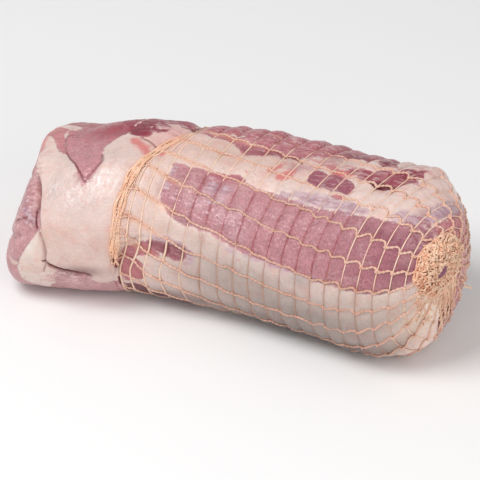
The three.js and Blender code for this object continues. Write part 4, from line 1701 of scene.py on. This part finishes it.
@dataclass
class NetThreads(Netting):
    """Rings, lengthwise yarns, knots and the hem of the net."""

    scatter: KnotScatter
    eye_run: Span = Span(166, 22, 306, 18)
    eye_edge: float = 4.0
    top_run: Span = Span(138, 8, 314, 16)
    top_angles: Span = Span(104, 7, 158, 14)
    shade: float = 0.5
    shade_run: Span = Span(170, 30, 350, 30)
    shade_top: float = 24.0
    shade_fade: float = 12.0
    ring_steps: int = 280
    ring_lift: float = 0.3
    ring_sunk: float = 1.2
    ring_width: float = 1.15
    low_widening: float = 0.55
    low_top: float = 34.0
    low_fade: float = 14.0
    yarn_rings: Triple = (-0.05, -0.6, 0.07)
    yarn_lift: float = 0.15
    yarn_sunk: float = 1.3
    yarn_hook: float = 0.1
    bridge: float = 0.42
    sway: float = 0.14
    sway_share: float = 2.2
    tight: float = 0.16
    slack: float = 0.9
    slack_from: float = 9.0
    leg_rings: tuple[float, float] = (0.25, -1.0)
    leg_steps: int = 16
    leg_reach: float = 0.22
    leg_lift: float = 0.5
    leg_width: float = 0.8
    knot_lift: float = 0.5
    knot_sunk: float = 1.5
    hem_strands: int = 11
    hem_steps: int = 420
    hem_place: float = 2.0
    hem_spacing: float = 0.42
    hem_lift: float = 0.55
    hem_width: float = 0.85
    hem_buried: float = 6.5
    hem_top_sunk: float = 3.0
    hem_soak_turns: Span = Span(10, 30, 140, 30)

    def sink_and_shade(self, ring: Array, thread: Array) -> tuple[Array, Array, Array]:
        """How the meat takes in the threads.

        Args:
            ring, thread: Places on the net.

        Returns:
            Shares by which rings sink into the eye muscle and threads into the top muscle, and painted shade
            on the lower front.
        """
        s, angle = self.meat.net.crossing(ring, thread)
        turn = turn_from(angle)
        eye = smooth(LEAN_REGIONS["eye muscle"].inside(s, angle) / self.eye_edge) * self.eye_run.share(s)
        top = self.top_run.share(s) * self.top_angles.share(turn)
        # Painted shade on the threads low on the front.
        low_shade = self.shade * smooth((self.shade_top - turn) / self.shade_fade) * self.shade_run.share(s)
        return eye, top, low_shade

    def rings(self) -> Piece:
        """Elastic rings: they sink out of sight where the lean closes over them.

        Returns:
            The piece.
        """
        strands, net = [], self.meat.net
        thread = np.linspace(0, net.threads, self.ring_steps, endpoint=False)
        for ring in range(net.last_ring):
            eye, top, low_shade = self.sink_and_shade(ring, thread)
            lift = self.ring_lift - self.ring_sunk * np.maximum(eye, 0.6 * top)
            low = smooth((self.low_top - turn_from(net.crossing(ring, thread)[1])) / self.low_fade)
            width = self.ring_width + self.low_widening * smooth((5.5 - ring) / 3) * low
            # Darker where the rings sink into the lean, a stain, and painted shade on the lower front.
            stain_and_shade = np.maximum(0.75 * np.maximum(eye, top), 1.5 * low_shade)
            strands.append(Strand(self.meat.on_net(ring, thread, lift), width, True, stain_and_shade))
        return self.spun("net_rings", strands, Finish.ELASTIC, Radius=0.00042, Sides=6, Flatness=0.8)

    def looseness(self, ring: Array) -> Array:
        """Slack of the yarns, which grows towards the gathered end."""
        return self.tight + self.slack * smooth((ring - self.slack_from) / 7)

    def sideways(self, ring: Array, thread: float) -> Array:
        """Sideways swing of a yarn: it runs level, then drops into each ring.

        Args:
            ring: Ring coordinates along the yarn.
            thread: Number of the yarn.

        Returns:
            The swing, in thread steps.
        """
        part = ring - np.floor(ring)
        saw = part * (1 - smooth((part - 0.66) / 0.34))
        spot = np.stack([ring * 12, np.full(len(ring), thread * 31.0), np.zeros(len(ring))], -1)
        return -self.sway * self.looseness(ring) * self.sway_share * saw + 0.06 * noise(spot, size=9, seed=31)

    def yarn(self, thread: int) -> Strand:
        """One lengthwise yarn, from the first ring into the tuft.

        Args:
            thread: Number of the yarn.

        Returns:
            The strand.
        """
        first, past_last, step = self.yarn_rings
        ring = np.arange(first, self.meat.net.last_ring + past_last, step)
        spot = np.stack([ring * 12, np.full(len(ring), thread * 17.0), np.ones(len(ring))], -1)
        eye, top, low_shade = self.sink_and_shade(ring, thread)
        lift = self.yarn_lift + 0.15 * noise(spot, size=5, seed=33) - self.yarn_sunk * top
        hooked = ring + self.yarn_hook * self.looseness(ring) * bell((ring - np.floor(ring) - 0.82) / 0.11)
        path = self.meat.on_net(hooked, thread + self.sideways(ring, thread), lift, self.bridge)
        width = 1 + 0.16 * noise(spot, size=4, seed=35) + 0.2 * smooth((ring - self.slack_from) / 5)
        # Darker where the yarn sinks into the lean, a stain, and painted shade on the lower front.
        return Strand(path, width, False, np.max([0.7 * top, 0.25 * eye, 0.9 * low_shade], axis=0))

    def leg(self, thread: int, side: int) -> Strand:
        """One of the two legs by which a yarn spreads from the first ring down to the hem.

        Args:
            thread: Number of the yarn.
            side: -1 or 1.

        Returns:
            The strand.
        """
        reach = self.leg_reach + 0.12 * math.sin(3.1 * thread + side)
        ring = np.linspace(*self.leg_rings, self.leg_steps)
        spread = side * reach * smooth((self.leg_rings[0] - ring) / 1.1)
        buried = self.meat.net.buried(self.meat.net.crossing(ring, thread)[1])
        lift = self.leg_lift + 0.3 * (ring < -0.7) - 5 * buried * smooth(-ring)
        lift = lift - 3 * self.sink_and_shade(ring, thread)[1]
        return Strand(self.meat.on_net(ring, thread + spread, lift, 0.5), self.leg_width)

    def yarns(self) -> Piece:
        """Lengthwise yarns, each with two legs.

        Returns:
            The piece.
        """
        strands = []
        for thread in range(self.meat.net.threads):
            strands += [self.yarn(thread), self.leg(thread, -1), self.leg(thread, 1)]
        sizes = {"Radius": 0.00084, "Sides": 8, "Flatness": 0.6, "Twist": 1100.0}
        return self.spun("net_yarns", strands, Finish.YARN, **sizes)

    def knots(self) -> Piece:
        """A knot at each crossing of a ring and a yarn.

        Returns:
            The piece.
        """
        net, body = self.meat.net, self.meat.body
        rings, threads = np.arange(0, net.last_ring - 1), np.arange(net.threads)
        ring, thread = [grid.ravel().astype(float) for grid in np.meshgrid(rings, threads, indexing="ij")]
        eye, top, low_shade = self.sink_and_shade(ring, thread)
        points = self.meat.on_net(ring, thread, self.ring_lift + self.knot_lift - self.knot_sunk * top)
        s, angle = net.crossing(ring, thread)
        values = {
            Layer.ALONG: body.point(s, angle + 1) - body.point(s, angle - 1),
            Layer.OUT: body.normal(s, angle),
            Layer.SIZE: 0.85 + 0.6 * smooth((ring - 10) / 6),
            # Stain where the knots sink into the lean, and painted shade on the lower front.
            Layer.STAIN_AND_SHADE: np.maximum(0.5 * eye, 0.9 * low_shade),
        }
        return self.placed(self.scatter.run("net_knots", points, values))

    def settled(self, height: Array, reach: int = 6) -> Array:
        """Heights round a closed thread, which spans the narrow dips."""
        spread = [np.roll(height, k) for k in range(-reach, reach + 1)]
        return 0.5 * (np.mean(spread, axis=0) + height)

    def hem_strand(self, number: int) -> Strand:
        """One thread of the hem; every fourth one is thick.

        Args:
            number: Number of the thread, counted from the bare end.

        Returns:
            The strand.
        """
        meat, net = self.meat, self.meat.net
        angle = np.linspace(0, 360, self.hem_steps, endpoint=False)
        circle = np.stack([np.cos(np.radians(angle)), np.sin(np.radians(angle))], -1) * net.radius
        spot = np.column_stack([circle, np.full(len(angle), 37.0 * number)])
        wander, rise = noise(spot, size=11, seed=41), noise(spot, size=9, seed=43)
        station = net.hem_station(angle)
        loose = 1.2 + 0.8 * bell(turn_from(angle, 100) / 30)
        s = station + self.hem_place + self.hem_spacing * (number - 0.5 * self.hem_strands) + loose * wander
        thick = float(number % 4 == 0)
        relief = self.settled(meat.bare_relief(np.minimum(s, station), angle))
        relief = relief + self.hem_lift + 0.55 * rise - 0.4 * thick
        relief = relief - self.hem_buried * net.buried(angle + 5 * (number % 3 - 1))
        relief = relief - self.hem_top_sunk * bell(turn_from(angle, 124) / 15)
        stain_and_shade = 0.25 * self.hem_soak_turns.share(turn_from(angle, 60)) + 0.07 * (number % 3) + 0.1 * thick
        path = meat.rested(meat.body.over(s, angle, relief))
        return Strand(path, self.hem_width + 0.15 * rise + 0.6 * thick, True, stain_and_shade)

    def hem(self) -> Piece:
        """Hem: several threads that wander over and under each other in the crease.

        Returns:
            The piece.
        """
        strands = [self.hem_strand(number) for number in range(self.hem_strands)]
        sizes = {"Radius": 0.0006, "Sides": 7, "Flatness": 0.7, "Twist": 1300.0}
        return self.spun("net_hem", strands, Finish.TUFT, **sizes)


@dataclass
class Tuft(Netting):
    """Gathered end of the net: a cap of tangled curly threads, with a few loose ends."""

    centre: Place = (9.5, 9.0)
    radius: Place = (24.0, 22.4)
    height: float = 5.5
    hole: Place = (10.5, 2.8)
    hole_radius: Place = (5.8, 4.5)
    hollow: float = 0.7
    core_rows: int = 40
    core_columns: int = 96
    core_height: float = 0.7
    core_depth: float = 2.0
    core_hole: float = 4.5
    curls: int = 160
    strays: int = 40
    gathers: int = 24
    ends: int = 14
    steps: int = 40
    stride: float = 1.05
    thread_lift: float = 0.7
    stray_start: float = 0.88
    stray_lift: float = 0.55
    stray_width: float = 0.75
    seed: int = 7

    def spot(self, across: Array, up: Array) -> tuple[Array, Array]:
        """Station and angle of a place on the plane."""
        return self.meat.body.pole - np.hypot(across, up), np.degrees(np.arctan2(up, across))

    def base(self, across: Array, up: Array) -> Array:
        """Point of the bare form under a place on the plane."""
        return self.meat.body.point(*self.spot(across, up))

    def point(self, across: Array, up: Array, height: Array) -> Array:
        """Point over the gathered end.

        Args:
            across, up: Places on the plane.
            height: Height over the groove that a ring presses.

        Returns:
            The points.
        """
        along = self.base(across + 1, up) - self.base(across - 1, up)
        rise = np.cross(along, self.base(across, up + 1) - self.base(across, up - 1))
        rise /= np.linalg.norm(rise, axis=-1, keepdims=True)
        rise *= np.where(rise[..., :1] < 0, -1, 1)
        return self.base(across, up) + rise * (np.asarray(height) - self.meat.groove)[..., None]

    def at(self, reach: Array | float, turn: Array | float) -> tuple[Array, Array]:
        """Place on the plane at a share of the radius and a turn round the tuft's middle."""
        a = self.centre[0] + reach * self.radius[0] * np.cos(turn)
        return a, self.centre[1] + reach * self.radius[1] * np.sin(turn)

    def rim(self, turn: Array | float) -> Array:
        """Reach of the uneven rim as a share of the radius."""
        return 1 + 0.06 * np.cos(2 * turn - 2.1) + 0.04 * np.sin(7 * turn)

    def away(self, across: Array, up: Array) -> Array:
        """Distance from the tuft's middle as a share of its uneven rim."""
        a, b = (across - self.centre[0]) / self.radius[0], (up - self.centre[1]) / self.radius[1]
        return np.hypot(a, b) / self.rim(np.arctan2(b, a))

    def from_hole(self, across: Array, up: Array) -> Array:
        """Distance from the middle of the hole as a share of its size."""
        wide, high = self.hole_radius
        return np.hypot((across - self.hole[0]) / wide, (up - self.hole[1]) / high)

    def dome(self, across: Array, up: Array) -> Array:
        """Height of the tuft's top, from 0 at its rim, with a hollow round the hole."""
        top = self.height * np.sqrt(np.clip(1 - self.away(across, up) ** 2, 0, 1))
        return top * (1 - self.hollow * bell(self.from_hole(across, up) / 1.5))

    def walk(self, start: tuple[Array, Array], heading: Array) -> tuple[Array, Array]:
        """Places of a thread that takes even strides with the given headings."""
        a = start[0] + self.stride * np.cumsum(np.cos(heading))
        return a, start[1] + self.stride * np.cumsum(np.sin(heading))

    def core(self) -> Piece:
        """Lumpy cap of packed threads under the curls, open where the meat shows through.

        Returns:
            The piece.
        """
        turn = np.linspace(0, 2 * np.pi, self.core_columns, endpoint=False)
        share, turn = np.meshgrid(np.linspace(0.02, 1, self.core_rows), turn, indexing="ij")
        a, b = self.at(share * self.rim(turn), turn)
        flat = np.stack([a, b, np.zeros_like(a)], -1).reshape(-1, 3)
        lumps = noise(flat, size=5, seed=51, octaves=3).reshape(a.shape) * (1 - share**4)
        height = self.dome(a, b) * self.core_height + lumps
        height = height - self.core_hole * bell(self.from_hole(a, b) / 1.1)
        top = self.point(a, b, height)
        under = self.point(a, b, np.minimum(height, 0) - self.core_depth)
        rows = np.concatenate([top, under[::-1]])
        piece = grid_mesh("net_tuft_core", rows, top[0].mean(0), under[0].mean(0))
        piece.data.materials.append(Finish.CORE.material())
        set_attribute(piece, Layer.STAIN_AND_SHADE, np.zeros(len(piece.data.vertices)))
        return self.placed(piece)

    def curl(self, rng: np.random.Generator) -> Strand:
        """One crumpled thread that wanders over the cap, kept within its rim and out of the hole.

        Args:
            rng: Source of the random draws.

        Returns:
            The strand.
        """
        step = np.arange(self.steps)
        phase = rng.uniform(0, 2 * np.pi, 5)
        heading = phase[0] + 1.5 * np.sin(0.52 * step + phase[1]) + 1.2 * np.sin(0.23 * step + phase[2])
        reach = math.sqrt(rng.uniform(0, 1)) * self.rim(phase[3])
        a, b = self.walk(self.at(reach, phase[3]), heading)
        pull = 1 / np.maximum(self.away(a, b), 1)
        a, b = [middle + (place - middle) * pull for middle, place in zip(self.centre, (a, b), strict=True)]
        layer = rng.uniform(0.5, 1.05)
        height = self.thread_lift + self.dome(a, b) * layer + 1.2 * np.sin(0.8 * step + phase[4])
        push = np.maximum(1 / np.maximum(self.from_hole(a, b), 0.05), 1)
        a, b = [middle + (place - middle) * push for middle, place in zip(self.hole, (a, b), strict=True)]
        path = self.point(a, b, np.maximum(height, self.thread_lift))
        # Lower curls take more of the darker colour: painted shade between the curls, partly meat juice.
        return Strand(path, stain_and_shade=0.5 * smooth((0.9 - layer) / 0.4))

    def stray(self, rng: np.random.Generator, turns: Place, aim: float, steps: Place, wave: float) -> Strand:
        """Thread that leaves the rim and lies down over the meat.

        Args:
            rng: Source of the random draws.
            turns: Least and greatest turn round the rim where it starts, in degrees.
            aim: Share of its heading that points straight down; the rest points outwards.
            steps: Least and greatest number of steps.
            wave: How far its heading swings.

        Returns:
            The strand.
        """
        step = np.arange(int(rng.integers(*steps)))
        turn, phase = math.radians(rng.uniform(*turns)), rng.uniform(0, 2 * np.pi, 3)
        heading = turn * (1 - aim) - 0.5 * np.pi * aim
        heading = heading + wave * (np.sin(0.45 * step + phase[0]) + 0.5 * np.sin(0.21 * step + phase[1]))
        a, b = self.walk(self.at(self.stray_start, turn), heading)
        height = self.stray_lift * (1 + aim) + 0.3 * np.sin(0.6 * step + phase[2]) + 0.9 * self.dome(a, b)
        path = self.point(a, b, height + total_rise(LOBES, *self.spot(a, b)))
        return Strand(path, self.stray_width - 0.05 * aim, stain_and_shade=rng.uniform(0.0, 0.05) * aim)

    def tail(self) -> Strand:
        """The one loose end that stands off the rim.

        Returns:
            The strand.
        """
        run = np.linspace(0, 1, 20)
        a = -17 - 8 * run - 0.8 * np.sin(7 * run)
        b = -17 - 8 * run + 0.9 * np.sin(9 * run)
        return Strand(self.point(a, b, 1 + 5 * run**1.5), 1.2)

    def tangle(self) -> Piece:
        """Curls of the tuft and the threads that stray from it.

        Returns:
            The piece.
        """
        rng = np.random.default_rng(self.seed)
        strands = [self.curl(rng) for _ in range(self.curls)]
        strands += [self.stray(rng, (-128, -25), 0.0, (8, 28), 1.0) for _ in range(self.strays)]
        strands += [self.stray(rng, (20, 150), 0.0, (4, 9), 0.9) for _ in range(self.ends)]
        strands += [self.stray(rng, (-146, -104), 1.0, (12, 36), 0.3) for _ in range(self.gathers)]
        strands.append(self.tail())
        sizes = {"Radius": 0.00072, "Sides": 5, "Flatness": 0.8, "Twist": 900.0}
        return self.spun("net_tuft", strands, Finish.TUFT, **sizes)


@dataclass
class Studio:
    """Camera, floor and soft light."""

    azimuth: float = 20.0
    elevation: float = 36.0
    distance: float = 3300.0
    target: Triple = (-3.75, 0.8, 56.0)
    aim_right: float = -7.17
    aim_up: float = -12.39
    lens: float = 379.6
    near_clip: float = 0.1
    sky: float = 0.44
    lamp_target: Triple = (0, 0, 50)
    floor_reach: float = 6000.0
    floor_shade: float = 0.93
    floor_roughness: float = 0.9

    def camera(self) -> None:
        """Camera at the photograph's viewing angle."""
        turn, tilt = math.radians(self.azimuth), math.radians(self.elevation)
        back = Vector((math.sin(turn) * math.cos(tilt), -math.cos(turn) * math.cos(tilt), math.sin(tilt)))
        right = Vector((math.cos(turn), math.sin(turn), 0))
        aim = Vector(self.target) + self.aim_right * right + self.aim_up * back.cross(right)
        camera = linked("camera", bpy.data.cameras.new("camera"))
        camera.data.lens = self.lens
        camera.data.clip_start = self.near_clip
        camera.location = (aim + back * self.distance) * METRES
        camera.rotation_euler = back.to_track_quat("Z", "Y").to_euler()
        bpy.context.scene.camera = camera

    def lamp(self, name: str, place: Triple, size: float, power: float) -> None:
        """Soft square lamp that faces the roast.

        Args:
            name: Name of the lamp.
            place: Where it hangs.
            size: Length of its side.
            power: Power in watts.
        """
        lamp = linked(name, bpy.data.lights.new(name, "AREA"))
        lamp.data.size = size * METRES
        lamp.data.energy = power
        lamp.location = Vector(place) * METRES
        lamp.rotation_euler = (Vector(place) - Vector(self.lamp_target)).to_track_quat("Z", "Y").to_euler()

    def light(self) -> None:
        """Pale surroundings and two lamps."""
        scene = bpy.context.scene
        scene.world = bpy.data.worlds.new("pale_room")
        scene.world.use_nodes = True
        background = scene.world.node_tree.nodes["Background"]
        background.inputs["Color"].default_value = (1, 1, 1, 1)
        background.inputs["Strength"].default_value = self.sky
        scene.view_settings.view_transform = "Standard"
        self.lamp("key", (-450, -700, 1500), 800, 17.0)
        self.lamp("fill", (1300, -1000, 900), 1200, 7.6)

    def floor(self) -> None:
        """Plain pale floor."""
        corners = np.array([(-1, -1, 0), (1, -1, 0), (1, 1, 0), (-1, 1, 0)]) * self.floor_reach
        floor = mesh_piece("floor", corners, None, [(0, 1, 2, 3)])
        material = bpy.data.materials.new("pale_floor")
        material.use_nodes = True
        shader = material.node_tree.nodes["Principled BSDF"]
        shader.inputs["Base Color"].default_value = (*[self.floor_shade] * 3, 1)
        shader.inputs["Roughness"].default_value = self.floor_roughness
        floor.data.materials.append(material)
        floor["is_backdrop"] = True

    def build(self) -> None:
        """Sets up all three."""
        self.camera()
        self.light()
        self.floor()


def corners(bounds: object) -> list[list[float]]:
    """Lowest and highest corner of a box as plain lists."""
    return [[float(x) for x in corner] for corner in bounds]


def report(piece: Piece) -> None:
    """Logs a finished piece."""
    faces = sum(len(face.vertices) - 2 for face in piece.data.polygons)
    LOG.info("%s: %d triangles", piece.name, faces)


def main() -> None:
    """Builds the studio, the meat and the net in order, and works out the two bounding boxes."""
    logging.basicConfig(level=logging.INFO, format="%(name)s %(message)s")
    before = corners(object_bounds())
    Studio().build()
    body, sweep = RoastBody(), ThreadSweep()
    meat = Meat(body, NetLayout(body))
    roast, threads, tuft = RoastMeat(meat), NetThreads(meat, sweep, KnotScatter()), Tuft(meat, sweep)
    parts = (roast.bare_end, roast.barrel, threads.rings, threads.yarns, threads.knots, threads.hem)
    for build in (*parts, tuft.core, tuft.tangle):
        report(build())
    {"cad": before, "visual": corners(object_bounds())}


if __name__ == "__main__":
    main()
